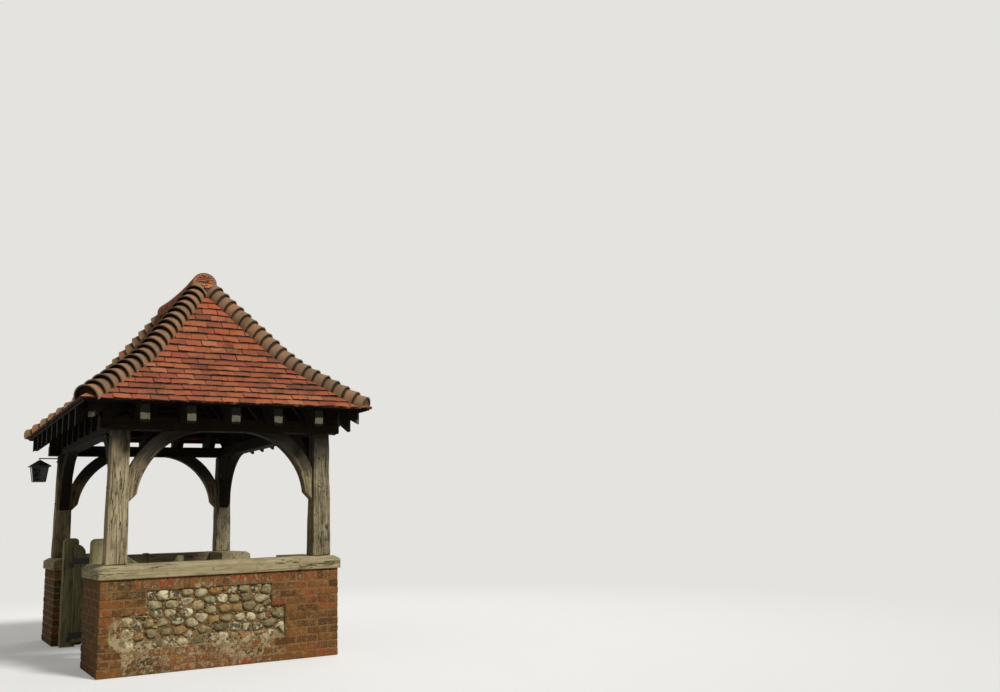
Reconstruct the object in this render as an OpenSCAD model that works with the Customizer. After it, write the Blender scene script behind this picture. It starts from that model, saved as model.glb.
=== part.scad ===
// Lychgate: a hipped, tiled roof on an oak frame that stands on two dwarf walls, with a pair of gates.
// Millimetres, +Z up. X runs across the path and Y along it, with the road at -Y and the yard at +Y.
// The origin is on the ground under the middle of the ridge. Right is +X, seen from the road.

/* [Walls] */
// Width over the outer faces of the two walls, across the path
walls_w = 4000; // [3300:10:4900]
// Length of each wall along the path
wall_l = 2320; // [1900:10:2900]
// Height of the brickwork up to the sill
brick_h = 870; // [700:10:1100]
// Thickness of the brickwork
wall_t = 330; // [300:5:400]
// Reach of each end return, from the wall's outer face towards the path
return_l = 920; // [760:10:1120]

/* [Flint panels] */
// Depth of the flint facing let into each wall
flint_t = 90; // [60:5:120]
// Height of the panel's lower edge
panel_z0 = 220; // [120:10:260]
// Height of the panel's upper edge
panel_z1 = 750; // [640:10:760]
// Height at which the brickwork steps into the panel
panel_mid = 530; // [400:10:600]
// Brickwork left between the panel and the wall's road end
panel_road = 200; // [150:10:320]
// Brickwork left between the panel and the wall's yard end
panel_yard = 560; // [300:10:700]
// How far the brickwork steps into the upper part of the panel at its road end
panel_step_road = 220; // [100:10:280]
// How far the brickwork steps into the upper part of the panel at its yard end
panel_step_yard = 140; // [100:10:280]

/* [Sills] */
// Thickness of the oak sill
sill_t = 130; // [100:5:170]
// Overhang of the sill past the brickwork
sill_over = 20; // [10:5:40]
// Width of the sloped weathering on the sill's outer edge
weather_w = 55; // [30:5:60]
// Drop of the sloped weathering
weather_h = 36; // [20:2:50]
// Open joint between mitred sill timbers
joint_gap = 2; // [1:0.5:4]

/* [Posts] */
// Width of a corner post at its foot
post_foot = 200; // [170:5:230]
// Width of a corner post at its head
post_head = 170; // [150:5:190]
// Height of a corner post
post_h = 1270; // [1050:10:1500]
// Setback of a post from the wall's outer face
post_in_x = 70; // [60:5:90]
// Setback of a post from the wall's end
post_in_y = 50; // [40:5:90]

/* [Beams and braces] */
// Depth of the wall plates and tie beams
plate_d = 130; // [100:5:160]
// How far a wall plate runs on past its posts
plate_past = 110; // [50:5:130]
// Width of a tie beam
tie_w = 150; // [120:5:170]
// Thickness of a brace
brace_t = 120; // [80:5:140]
// Radius of a brace's curved underside
brace_r = 705; // [600:5:760]
// Depth of a brace between its two curves
brace_d = 140; // [100:5:160]
// Distance of the curve's centre in from the post
brace_in = 784; // [700:4:820]
// Distance of the curve's centre down from the plate
brace_down = 701; // [600:1:703]
// Thickness of a brace's foot where its curve stops
brace_toe = 85; // [60:5:110]

/* [Roof frame] */
// Pitch of the upper part of the roof, in degrees
pitch_top = 52.5; // [48:0.5:56]
// Pitch of the flared eaves, in degrees
pitch_low = 39; // [34:0.5:44]
// Level width of the flared part, in from the eaves
flare_run = 645; // [500:5:720]
// Radius of the bend between the two pitches
bend_r = 1500; // [900:50:2000]
// Overhang of the eaves past the plate's outer face
eave_over = 330; // [280:5:400]
// Width of a rafter
rafter_w = 85; // [60:5:100]
// Depth of a rafter
rafter_d = 125; // [100:5:140]
// Depth of the sprocket that carries the flared eaves
sprocket_d = 135; // [70:5:135]
// Cut of a rafter down over the edge of its plate
birdsmouth = 35; // [25:5:45]
// Spacing of the rafters
rafter_pitch = 430; // [350:10:520]
// Least distance from a rafter to the corner of the eaves
corner_gap = 400; // [350:10:480]
// Width of a hip rafter
hip_w = 60; // [50:5:80]
// Plumb depth of a hip rafter
hip_d = 230; // [190:5:240]
// Plumb depth of a hip rafter's tail past the plates
hip_tail = 165; // [120:5:175]
// Setback of a hip rafter's tail from the ends of the rafters, along either slope
hip_back = 75; // [40:5:110]
// Thickness of the ridge board
ridge_w = 30; // [25:5:50]
// Depth of the ridge board
ridge_d = 200; // [150:5:240]

/* [Tiles] */
// Gauge of the tile courses
gauge = 104; // [85:1:125]
// Depth of a batten
batten_d = 25; // [19:1:38]
// Width of a batten
batten_w = 38; // [25:1:50]
// Depth of the tile layer at the head of a course
tile_low = 24; // [20:1:30]
// Depth of the tile layer at the tail of a course
tile_high = 36; // [32:1:44]
// Least distance along the slope from the ridge line to the tail of the first course
tile_top = 60; // [50:5:110]
// Distance along the slope from the ridge line to the head of the first course
tile_start = 30; // [25:1:45]
// Distance of a batten's middle up the slope from the tail of its course
batten_up = 35; // [25:1:45]
// Clearance on each side of a batten
seat_gap = 0.1; // [0.05:0.05:0.3]

/* [Bonnets and ridge] */
// Depth of a bonnet tile's axis below the line of the hip, at its tail
bonnet_deep = 55; // [45:5:70]
// Further depth of the axis at the bonnet's head, which tips the tail up
bonnet_dip = 25; // [10:5:35]
// Rise of a bonnet's lower edge above the hip of the tiling
bonnet_tail = 80; // [60:1:90]
// Rise of a bonnet's upper edge above the hip of the tiling
bonnet_head = 34; // [24:1:44]
// How far a bonnet's lower edge hangs past the tail of its course
bonnet_down = 45; // [20:5:60]
// Outer radius of the half-round ridge tiles
ridge_r = 124; // [100:2:150]
// Thickness of a ridge tile
ridge_t = 16; // [12:1:24]
// Depth of a ridge tile's straight sides below its axis
ridge_leg = 40; // [10:2:50]
// Height of the ridge tiles' axis against the peak of the slopes
ridge_up = 6; // [-15:1:20]
// Length of one ridge tile
ridge_len = 300; // [250:5:460]
// Joint between two ridge tiles
ridge_joint = 6; // [3:1:12]
// How far the ridge's ends stand out past the tops of the hips
ridge_past = 70; // [40:2:100]
// Setback of the ridge's mortar from the faces of its tiles
mortar_back = 5; // [3:1:10]
// Thickness of the infill that closes each end of the ridge
infill_t = 30; // [20:2:60]
// Setback of the infill from the end of the ridge
infill_back = 8; // [4:1:16]

/* [Gates] */
// Width of a gate post
gate_post_w = 160; // [120:5:180]
// Height of a gate post
gate_post_h = 1240; // [1100:10:1400]
// Rounding of a gate post's top edges
gate_post_r = 45; // [20:5:60]
// Setback of the gate posts from the walls' road ends
gate_post_in = 70; // [50:5:120]
// Thickness of a gate leaf
leaf_t = 55; // [45:5:65]
// Height of a leaf's foot above the ground
leaf_z0 = 50; // [30:5:90]
// Height of the hanging stile's top
stile_z1 = 1170; // [1120:10:1220]
// Width of the hanging stile
hang_w = 120; // [90:5:140]
// Width of the meeting stile
meet_w = 68; // [55:1:90]
// Height of the top rail at the hanging stile
rail_high = 1058; // [1030:2:1100]
// Height of the top rail at the bottom of its sweep
rail_low = 956; // [930:2:1000]
// Height of the meeting stile's top
meet_z1 = 1035; // [1010:5:1080]
// Height of the top rail's straight lower edge
rail_under = 850; // [780:5:880]
// Depth of the middle and bottom rails
rail_d = 90; // [70:5:120]
// Depth of the bottom rail
foot_rail_d = 150; // [110:5:180]
// Number of pales in a leaf
pales = 6; // [4:1:8]
// Width of a pale
pale_w = 62; // [45:1:70]
// Thickness of a pale
pale_t = 20; // [16:1:28]
// Gap between the two closed leaves
leaf_gap = 8; // [6:1:16]

/* [Gate ironwork] */
// Distance of the hinge pins from the gate post's face
pin_out = 40; // [36:1:50]
// Distance of the hinge pins behind the gate post's road face
pin_back = 90; // [60:5:110]
// Radius of a hinge pin
pin_r = 8; // [6:0.5:10]
// Running clearance between a pin and its eye
pin_play = 0.05; // [0.02:0.01:0.1]
// Outer radius of a strap's eye
eye_r = 14; // [12:1:18]
// Height of a strap
strap_h = 65; // [50:1:80]
// Thickness of a strap
strap_t = 6; // [5:1:8]
// Length of a strap along the leaf
strap_l = 330; // [250:10:420]
// Height of the upper strap's middle
strap_z1 = 975; // [950:5:1000]
// Height of the lower strap's middle
strap_z0 = 132; // [110:2:160]

/* [Lantern] */
// Reach of the bracket from the post to the lantern's middle
lamp_out = 210; // [170:5:240]
// Width of the lantern's cap
lamp_cap = 250; // [200:5:280]
// Width of the lantern's body under its cap
lamp_w = 200; // [160:5:220]
// Width of the lantern's body at its foot
lamp_foot = 150; // [120:5:170]
// Height of the lantern's body
lamp_h = 190; // [150:5:220]
// Width of the lantern's corner bars
lamp_bar = 14; // [10:1:20]

/* [Hidden] */

brick = "#a5704c";
flint = "#b3a78f";
oak = "#b7a68a";
dark_oak = "#6f6250";
clay = "#b5613f";
clay_brown = "#8b6f58";
mortar = "#c9bfa9";
gate_oak = "#a9a58d";
iron = "#26241f";
glass = "#5d6a5c";

// Walls and sills
hx = walls_w / 2;
hy = wall_l / 2;
wall_in = hx - wall_t;
return_x = hx - return_l;
sill_z1 = brick_h + sill_t;
sill_end = return_x - sill_over;

// Posts, plates and ties
post_z1 = sill_z1 + post_h;
post_x = hx - post_in_x;
post_y = hy - post_in_y;
taper = (post_foot - post_head) / 2;
head_x = post_x - taper;
head_y = post_y - taper;
plate_z1 = post_z1 + plate_d;
tie_in = (post_head - tie_w) / 2;

// Roof plan: the four slopes have the same run, so the hips lie at 45 degrees
eave_x = head_x + eave_over;
eave_y = head_y + eave_over;
ridge_x = eave_x - eave_y;
run_plate = head_y;
run_bend = eave_y - flare_run;
// Depth of the timbers' tops below the tiles, and height of the tiles' underside at the ridge line
frame_drop = batten_d + 2 * seat_gap;
peak = plate_z1 - birdsmouth + run_plate * tan(pitch_top) + (rafter_d + frame_drop) / cos(pitch_top);
// The underside of the tiles as a curve of slope distance s: straight, a bend, then straight
bend_a = pitch_top - pitch_low;
s_a = run_bend / cos(pitch_top) - bend_r * tan(bend_a / 2);
t_a = s_a * cos(pitch_top);
z_a = peak - s_a * sin(pitch_top);
s_b = s_a + bend_r * bend_a * PI / 180;
t_b = t_a + bend_r * (sin(pitch_top) - sin(pitch_low));
z_b = z_a - bend_r * (cos(pitch_low) - cos(pitch_top));
slope_l = s_b + (eave_y - t_b) / cos(pitch_low);
eave_z = z_b - (eave_y - t_b) * tan(pitch_low);
courses = floor((slope_l - tile_top) / gauge);
s_top = slope_l - courses * gauge;
far = eave_x + 300;
// Slope distance of the tail of a course, and those that describe the bend
function mark(k) = k < 0 ? tile_start : s_top + k * gauge;
bend_marks = [for (k = [0:courses - 1]) if (mark(k) > s_a - gauge && mark(k) < s_b + gauge) mark(k)];
sprocket_end = eave_y - 25;
foot_run = run_plate + 30;
foot_z = plate_z1 - 60;
hip_foot_run = run_plate + 75;
batten_split = 3;

// Gates
post_face = sill_end - gate_post_w;
gate_y = -hy + gate_post_in;
pin_x = post_face - pin_out;
pin_y = gate_y + pin_back;
leaf_u0 = eye_r + 4;
leaf_u1 = pin_x - leaf_gap / 2;
shoulder_in = 10;
sweep_u0 = leaf_u0 + hang_w + 100;
sweep_u1 = sweep_u0 + 220;
sweep_up = 75;
curve_steps = 8;
pale_from = leaf_u0 + hang_w;
pale_to = leaf_u1 - meet_w;
pale_pitch = (pale_to - pale_from) / pales;
mid_z0 = (leaf_z0 + foot_rail_d + rail_under - rail_d) / 2;
pin_foot = strap_h / 2 + 20;
pin_top = strap_h / 2 + 6;
eye_rest = 0.3;

// Lantern
lamp_x = -(head_x - post_head / 2);
bracket_z = post_z1 - 30;
plate_face = head_y + taper * 55 / post_h;
lamp_y = -(plate_face + lamp_out);
cap_z1 = bracket_z - 20;
cap_z0 = cap_z1 - 85;
body_z0 = cap_z0 - lamp_h;

// Slope angle, point and raised point of the tiles' underside at slope distance s
function slope_at(s) = s < s_a ? pitch_top : s < s_b ? pitch_top - (s - s_a) / bend_r * 180 / PI : pitch_low;
function on_slope(s) =
    s < s_a ? [s * cos(pitch_top), peak - s * sin(pitch_top)]
    : s < s_b ? [t_a + bend_r * (sin(pitch_top) - sin(slope_at(s))),
                 z_a - bend_r * (cos(slope_at(s)) - cos(pitch_top))]
    : [t_b + (s - s_b) * cos(pitch_low), z_b - (s - s_b) * sin(pitch_low)];
function raised(s, h) = on_slope(s) + h * [sin(slope_at(s)), cos(slope_at(s))];

// Tops of the tiling, one step for each course, and its whole section with a smooth underside
function tile_steps() = [for (k = [0:courses]) each [raised(mark(k - 1), tile_low), raised(mark(k), tile_high)]];
function tile_section() =
    concat(tile_steps(), [on_slope(slope_l)], [for (i = [len(bend_marks) - 1:-1:0]) on_slope(bend_marks[i])],
           [on_slope(tile_start)]);

// Height of the top of a timber on the upper pitch, and of the sprocket's underside, at run t
function upper_top(t) = peak - t * tan(pitch_top) - frame_drop / cos(pitch_top);
function sprocket_under(t) = eave_z + (eave_y - t) * tan(pitch_low) - (frame_drop + sprocket_d) / cos(pitch_low);
function sprocket_top(t) = sprocket_under(t) + sprocket_d / cos(pitch_low);
// Run at which the sprocket's underside leaves the back of the rafter
leave_run = (upper_top(0) - sprocket_under(0)) / (tan(pitch_top) - tan(pitch_low));

// Section of a rafter with its sprocket, drawn against run t
function rafter_section() =
    let (under = upper_top(0) - rafter_d / cos(pitch_top),
         seat = (under - plate_z1) / tan(pitch_top),
         start = ridge_w / 2)
    concat([[start, upper_top(start)]],
           [for (s = bend_marks) raised(s, -frame_drop)],
           [[sprocket_end, sprocket_top(sprocket_end)], [sprocket_end, sprocket_under(sprocket_end)],
            [leave_run, sprocket_under(leave_run)], [foot_run, upper_top(foot_run)], [foot_run, foot_z],
            [run_plate, foot_z], [run_plate, plate_z1], [seat, plate_z1],
            [start, under - start * tan(pitch_top)]]);

// Section of a hip rafter against its own length: runs grow by the square root of two
hip_drop = hip_w / 2 / sqrt(2) * tan(pitch_top);
hip_step = run_plate + hip_w / 2;
function hip_under(t) = upper_top(t) - hip_drop - hip_d;
function hip_section() =
    let (seat = (hip_under(0) - plate_z1) / tan(pitch_top),
         out = sprocket_end - hip_back)
    [for (p = concat([[0, upper_top(0) - hip_drop]],
                     [for (s = bend_marks) raised(s, -frame_drop) - [0, hip_drop]],
                     [[out, sprocket_top(out) - hip_drop], [out, sprocket_top(out) - hip_drop - hip_tail],
                      [hip_foot_run, sprocket_top(hip_foot_run) - hip_drop - hip_tail],
                      [hip_foot_run, foot_z], [hip_step, foot_z],
                      [hip_step, plate_z1], [seat, plate_z1], [0, hip_under(0)]]))
     [p[0] * sqrt(2), p[1]]];

// Helpers that place copies
module both_x() { children(); mirror([1, 0, 0]) children(); }
module both_y() { children(); mirror([0, 1, 0]) children(); }
// Draws a section of run and height across the front slope, and across the right slope
module across_front(w) rotate([90, 0, -90]) linear_extrude(w, center = true) children();
module across_right(w) translate([ridge_x, 0, 0]) rotate([90, 0, 0]) linear_extrude(w, center = true) children();
// Plan of the front slope and of the right slope, kept a distance off the hip lines
module front_plan(off, start)
    linear_extrude(peak + 500)
        polygon([[-(ridge_x + far - off), -far], [ridge_x + far - off, -far],
                 [ridge_x + start - off, -start], [-(ridge_x + start - off), -start]]);
module right_plan(off)
    linear_extrude(peak + 500)
        polygon([[ridge_x + off, 0], [ridge_x + far, off - far], [ridge_x + far, far - off]]);

// Dwarf wall with its two returns, and the pocket for its flint facing
module panel_outline() {
    low = -hy + panel_road;
    high = hy - panel_yard;
    polygon([[low, panel_z0], [high, panel_z0], [high, panel_mid], [high - panel_step_yard, panel_mid],
             [high - panel_step_yard, panel_z1], [low + panel_step_road, panel_z1],
             [low + panel_step_road, panel_mid], [low, panel_mid]]);
}
module panel_block(depth, past)
    translate([hx + past, 0, 0]) rotate([90, 0, 90]) mirror([0, 0, 1]) linear_extrude(depth + past) panel_outline();
module wall() color(brick) difference() {
    linear_extrude(brick_h)
        polygon([[hx, -hy], [hx, hy], [return_x, hy], [return_x, hy - wall_t], [wall_in, hy - wall_t],
                 [wall_in, wall_t - hy], [return_x, wall_t - hy], [return_x, -hy]]);
    panel_block(flint_t, 1);
}
module right_wall() wall();
module left_wall() mirror([1, 0, 0]) wall();
module right_flint_panel() color(flint) panel_block(flint_t, 0);
module left_flint_panel() color(flint) mirror([1, 0, 0]) panel_block(flint_t, 0);

// Mitred oak sill with a sloped outer edge: one timber along the wall and one on each return
module sill_section() {
    w = wall_t + 2 * sill_over;
    polygon([[0, 0], [w, 0], [w, sill_t - weather_h], [w - weather_w, sill_t], [0, sill_t]]);
}
module sill() color(oak) {
    in_x = wall_in - sill_over;
    in_y = hy - wall_t - sill_over;
    out_x = hx + sill_over;
    out_y = hy + sill_over;
    g = joint_gap / 2;
    intersection() {
        translate([in_x, out_y, brick_h]) rotate([90, 0, 0]) linear_extrude(2 * out_y) sill_section();
        linear_extrude(sill_z1)
            polygon([[out_x, g - out_y], [out_x, out_y - g], [in_x, in_y - g], [in_x, g - in_y]]);
    }
    both_y() intersection() {
        translate([sill_end, -in_y, brick_h]) rotate([90, 0, 90]) mirror([1, 0, 0])
            linear_extrude(out_x - sill_end) sill_section();
        linear_extrude(sill_z1)
            polygon([[out_x - g, -out_y], [sill_end, -out_y], [sill_end, -in_y], [in_x - g, -in_y]]);
    }
}
module right_sill() sill();
module left_sill() mirror([1, 0, 0]) sill();

// Square oak post that tapers on all four faces
module taper_face() polygon([[0, 0], [post_foot, 0], [post_foot - taper, post_h], [taper, post_h]]);
module post() color(oak) translate([post_x - post_foot, -post_y, sill_z1]) intersection() {
    translate([0, post_foot, 0]) rotate([90, 0, 0]) linear_extrude(post_foot) taper_face();
    rotate([90, 0, 90]) linear_extrude(post_foot) taper_face();
}
module front_right_post() post();
module front_left_post() mirror([1, 0, 0]) post();
module rear_right_post() mirror([0, 1, 0]) post();
module rear_left_post() mirror([1, 0, 0]) mirror([0, 1, 0]) post();

// Wall plates on the posts, and tie beams between the plates
module plate_block()
    translate([head_x - post_head, -head_y - plate_past, post_z1]) cube([post_head, 2 * (head_y + plate_past), plate_d]);
module wall_plate() color(oak) plate_block();
module right_wall_plate() wall_plate();
module left_wall_plate() mirror([1, 0, 0]) wall_plate();
module tie_beam() color(dark_oak)
    translate([-(head_x - post_head), -head_y + tie_in, post_z1]) cube([2 * (head_x - post_head), tie_w, plate_d]);
module front_tie_beam() tie_beam();
module rear_tie_beam() mirror([0, 1, 0]) tie_beam();

// Curved brace in a corner: x runs from the post's head towards the path, y up from the post's head.
// The back follows the post's taper, and the foot is cut off to a short toe.
module brace() linear_extrude(brace_t, center = true) intersection() {
    difference() {
        translate([brace_in, -brace_down]) circle(brace_r + brace_d, $fn = 180);
        translate([brace_in, -brace_down]) circle(brace_r, $fn = 180);
    }
    toe = brace_down - 90;
    lean = taper / post_h;
    polygon([[0, 0], [brace_in, 0], [brace_in, -brace_down], [brace_toe, -brace_down], [brace_toe, -toe],
             [lean * (toe + 80), -toe - 80]]);
}
module side_braces() color(oak) both_y()
    translate([head_x - post_head / 2, post_head - head_y, post_z1]) rotate([90, 0, 90]) brace();
module right_side_braces() side_braces();
module left_side_braces() mirror([1, 0, 0]) side_braces();
module cross_braces() color(dark_oak) both_x()
    translate([post_head - head_x, -head_y + post_head / 2, post_z1]) rotate([90, 0, 0]) brace();
module front_cross_braces() cross_braces();
module rear_cross_braces() mirror([0, 1, 0]) cross_braces();

// Ridge board and the four hip rafters, each split from its neighbour down the middle of the roof
module ridge_board() color(dark_oak)
    translate([-ridge_x, -ridge_w / 2, upper_top(ridge_w / 2) - ridge_d]) cube([2 * ridge_x, ridge_w, ridge_d]);
module hip_rafter() intersection() {
    translate([ridge_x, 0, 0]) rotate([90, 0, -45]) linear_extrude(hip_w, center = true) polygon(hip_section());
    translate([ridge_x, -far - 0.5, 0]) cube([far, far, peak]);
}
module hip_rafters() color(dark_oak) both_x() both_y() hip_rafter();

// Rafters of each slope, cut to the hips in plan
hip_side = hip_w / sqrt(2);
function places(half) = [for (i = [-floor((half - corner_gap) / rafter_pitch):floor((half - corner_gap) / rafter_pitch)])
                         i * rafter_pitch];
module front_set() color(dark_oak) difference() {
    intersection() {
        for (x = places(eave_x)) translate([x, 0, 0]) across_front(rafter_w) polygon(rafter_section());
        front_plan(hip_side, ridge_w / 2);
    }
    both_x() plate_block();
}
module right_set() color(dark_oak) intersection() {
    for (y = places(eave_y)) translate([0, y, 0]) across_right(rafter_w) polygon(rafter_section());
    right_plan(hip_side);
}
module front_rafters() front_set();
module rear_rafters() mirror([0, 1, 0]) front_set();
module right_rafters() right_set();
module left_rafters() mirror([1, 0, 0]) right_set();

// A batten under each course, flat against the underside between two tails
first_batten = s_top - tile_start > batten_up + batten_w ? 0 : 1;
module batten_section(k) {
    tail = on_slope(mark(k));
    head = on_slope(mark(k - 1));
    tilt = atan2(head[1] - tail[1], tail[0] - head[0]);
    translate(tail) rotate(-tilt) translate([-batten_up - batten_w / 2, -batten_d - seat_gap])
        square([batten_w, batten_d]);
}
module battens() color(dark_oak) {
    both_y() intersection() {
        for (k = [first_batten:courses]) across_front(2 * far) batten_section(k);
        front_plan(batten_split, ridge_w);
    }
    both_x() intersection() {
        for (k = [first_batten:courses]) across_right(2 * far) batten_section(k);
        right_plan(batten_split);
    }
}

// Tiled slopes, mitred to each other at the hips
module front_slope() color(clay) intersection() {
    across_front(2 * far) polygon(tile_section());
    front_plan(0, 0);
}
module right_slope() color(clay) intersection() {
    across_right(2 * far) polygon(tile_section());
    right_plan(0);
}
module front_tiles() front_slope();
module rear_tiles() mirror([0, 1, 0]) front_slope();
module right_tiles() right_slope();
module left_tiles() mirror([1, 0, 0]) right_slope();

// Everything under the tops of the tiles, which shapes the seats of the bonnets and the ridge
module under_tiles() {
    section = concat([[0, peak + tile_low / cos(pitch_top)]], tile_steps(),
                     [raised(slope_l + 80, tile_high), [far, 0], [0, 0]]);
    intersection() {
        across_front(2 * far) polygon(section);
        front_plan(0, 0);
    }
    intersection() {
        across_right(2 * far) polygon(section);
        right_plan(0);
    }
}

// Half-round ridge tiles bedded on mortar, with an infill that closes each end
ridge_axis = peak + ridge_up;
ridge_half = ridge_x + ridge_past;
ridge_count = max(1, round(2 * ridge_half / ridge_len));
ridge_step = 2 * ridge_half / ridge_count;
module ridge_bar(r, down, x0, x1)
    translate([x0, 0, ridge_axis]) rotate([90, 0, 90]) linear_extrude(x1 - x0) {
        circle(r, $fn = 96);
        translate([-r, -down]) square([2 * r, down]);
    }
module ridge_tiles() color(clay_brown) difference() {
    union() {
        for (i = [0:ridge_count - 1])
            ridge_bar(ridge_r, ridge_leg, i * ridge_step - ridge_half + (i == 0 ? 0 : ridge_joint / 2),
                      (i + 1) * ridge_step - ridge_half - (i == ridge_count - 1 ? 0 : ridge_joint / 2));
        ridge_bar(ridge_r - mortar_back, 2 * ridge_r, -ridge_half + mortar_back, ridge_half - mortar_back);
    }
    ridge_bar(ridge_r - ridge_t, 3 * ridge_r, -ridge_half + infill_back + infill_t,
              ridge_half - infill_back - infill_t);
    both_x() {
        ridge_bar(ridge_r - ridge_t, 3 * ridge_r, ridge_half - infill_back, ridge_half + 1);
        both_y() under_tiles();
    }
}

// Bonnet hip tiles: one tapered half-round for each course but the last, wide and tipped up at its tail,
// stepping down the hip. Its axis lies under the line of the hip, and it is bedded on the tiles and
// against the ridge.
function hip_point(s) = let (p = raised(s, tile_high)) [ridge_x + p[0], -p[0], p[1]];
module bonnet(k) {
    tail = hip_point(mark(k) + bonnet_down);
    head = hip_point(k > 0 ? mark(k - 1) + bonnet_down : tile_start);
    d = head - tail;
    rise = atan2(d[2], norm([d[0], d[1]]));
    translate(tail) rotate([0, 0, 135]) rotate([0, 90 - rise, 0]) translate([bonnet_deep, 0, 0])
        rotate([0, atan2(bonnet_dip, norm(d)), 0])
            cylinder(h = norm(d) + 8, r1 = bonnet_deep + bonnet_tail, r2 = bonnet_deep + bonnet_dip + bonnet_head,
                     $fn = 64);
}
module bonnet_row() color(clay_brown) difference() {
    for (k = [0:courses - 1]) bonnet(k);
    under_tiles();
    ridge_bar(ridge_r, 2 * ridge_r, 0, ridge_half);
    translate([0, -0.5, 0]) cube([2 * far, far, 2 * peak]);
}
module front_right_bonnets() bonnet_row();
module front_left_bonnets() mirror([1, 0, 0]) bonnet_row();
module rear_right_bonnets() mirror([0, 1, 0]) bonnet_row();
module rear_left_bonnets() mirror([1, 0, 0]) mirror([0, 1, 0]) bonnet_row();

// Gate post with a rounded top
module rounded_face() {
    translate([0, 0]) square([gate_post_w, gate_post_h - gate_post_r]);
    translate([gate_post_r, 0]) square([gate_post_w - 2 * gate_post_r, gate_post_h]);
    for (x = [gate_post_r, gate_post_w - gate_post_r])
        translate([x, gate_post_h - gate_post_r]) circle(gate_post_r, $fn = 48);
}
module gate_post() color(gate_oak) translate([post_face, gate_y, 0]) intersection() {
    translate([0, gate_post_w, 0]) rotate([90, 0, 0]) linear_extrude(gate_post_w) rounded_face();
    rotate([90, 0, 90]) linear_extrude(gate_post_w) rounded_face();
}
module right_gate_post() gate_post();
module left_gate_post() mirror([1, 0, 0]) gate_post();

// Gate leaf, drawn with x along the leaf from the hinge pin and y up, then stood open beside the path
module stand_leaf(t) translate([pin_x, pin_y, 0]) rotate([90, 0, 90]) linear_extrude(t, center = true) children();
// Top edge of the leaf: a quarter-round shoulder on the hanging stile, a falling sweep, a level part,
// then a hollow up to the meeting stile
function top_edge() = concat(
    [[leaf_u0, stile_z1]],
    [for (i = [0:curve_steps]) let (a = 90 * i / curve_steps)
        [leaf_u0 + shoulder_in + (hang_w - shoulder_in) * sin(a), rail_high + (stile_z1 - rail_high) * cos(a)]],
    [for (i = [0:curve_steps]) [sweep_u0 + (sweep_u1 - sweep_u0) * i / curve_steps,
                                rail_low + (rail_high - rail_low) * (1 + cos(180 * i / curve_steps)) / 2]],
    [for (i = [0:curve_steps]) let (a = 90 * i / curve_steps)
        [leaf_u1 - meet_w - sweep_up + sweep_up * sin(a), rail_low + (meet_z1 - rail_low) * (1 - cos(a))]],
    [[leaf_u1, meet_z1]]);
module gate_frame() color(gate_oak) stand_leaf(leaf_t) difference() {
    polygon(concat([[leaf_u1, leaf_z0], [leaf_u0, leaf_z0]], top_edge()));
    translate([pale_from, leaf_z0 + foot_rail_d])
        square([pale_to - pale_from, mid_z0 - leaf_z0 - foot_rail_d]);
    translate([pale_from, mid_z0 + rail_d])
        square([pale_to - pale_from, rail_under - mid_z0 - rail_d]);
}
module gate_pales() color(gate_oak) stand_leaf(pale_t)
    for (i = [0:pales - 1]) {
        x = pale_from + (i + 0.5) * pale_pitch - pale_w / 2;
        translate([x, leaf_z0 + foot_rail_d]) square([pale_w, mid_z0 - leaf_z0 - foot_rail_d]);
        translate([x, mid_z0 + rail_d]) square([pale_w, rail_under - mid_z0 - rail_d]);
    }
// Iron strap on the leaf's path side, cranked back to an eye on the pin
module strap(z) translate([pin_x, pin_y, z - strap_h / 2]) difference() {
    union() {
        cylinder(h = strap_h, r = eye_r, $fn = 48);
        translate([-leaf_t / 2 - strap_t, -eye_r, 0]) cube([strap_t, strap_l + eye_r, strap_h]);
        translate([-leaf_t / 2, -eye_r, 0]) cube([leaf_t / 2, strap_t, strap_h]);
    }
    translate([0, 0, -1]) cylinder(h = strap_h + 2, r = pin_r + pin_play, $fn = 48);
}
module gate_straps() color(iron) for (z = [strap_z0, strap_z1]) strap(z);
module right_gate_frame() gate_frame();
module left_gate_frame() mirror([1, 0, 0]) gate_frame();
module right_gate_pales() gate_pales();
module left_gate_pales() mirror([1, 0, 0]) gate_pales();
module right_gate_straps() gate_straps();
module left_gate_straps() mirror([1, 0, 0]) gate_straps();

// Hook on the gate post: a fixing plate, a shank and an upright pin under each strap
module hook(z) {
    translate([pin_x, pin_y, z - pin_foot]) cylinder(h = pin_foot + pin_top, r = pin_r, $fn = 48);
    translate([pin_x, pin_y, z - pin_foot]) cylinder(h = pin_foot - strap_h / 2 - eye_rest, r = eye_r, $fn = 48);
    translate([pin_x, pin_y - pin_r, z - pin_foot]) cube([pin_out - strap_t, 2 * pin_r, 14]);
    translate([post_face - strap_t, pin_y - 25, z - pin_foot - 18]) cube([strap_t, 50, 50]);
}
module gate_hooks() color(iron) both_x() for (z = [strap_z0, strap_z1]) hook(z);

// Lantern on its bracket from the road face of the front left post
module lantern_frame() color(iron) {
    translate([lamp_x - 20, -plate_face - 6, bracket_z - 25]) cube([40, 6, 50]);
    translate([lamp_x, -plate_face, bracket_z]) rotate([90, 0, 0]) cylinder(h = lamp_out + 12, r = 7, $fn = 32);
    translate([lamp_x, lamp_y, cap_z1 - 5]) cylinder(h = bracket_z - cap_z1 + 5, r = 5, $fn = 32);
    lamp_cap_solid();
    lamp_body();
}
module lamp_cap_solid() translate([lamp_x, lamp_y, cap_z0]) intersection() {
    translate([-lamp_cap / 2, lamp_cap / 2, 0]) rotate([90, 0, 0]) linear_extrude(lamp_cap) cap_face();
    translate([-lamp_cap / 2, -lamp_cap / 2, 0]) rotate([90, 0, 90]) linear_extrude(lamp_cap) cap_face();
}
module cap_face() polygon([[0, 0], [lamp_cap, 0], [lamp_cap, 8], [lamp_cap / 2 + 12, cap_z1 - cap_z0],
                           [lamp_cap / 2 - 12, cap_z1 - cap_z0], [0, 8]]);
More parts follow.
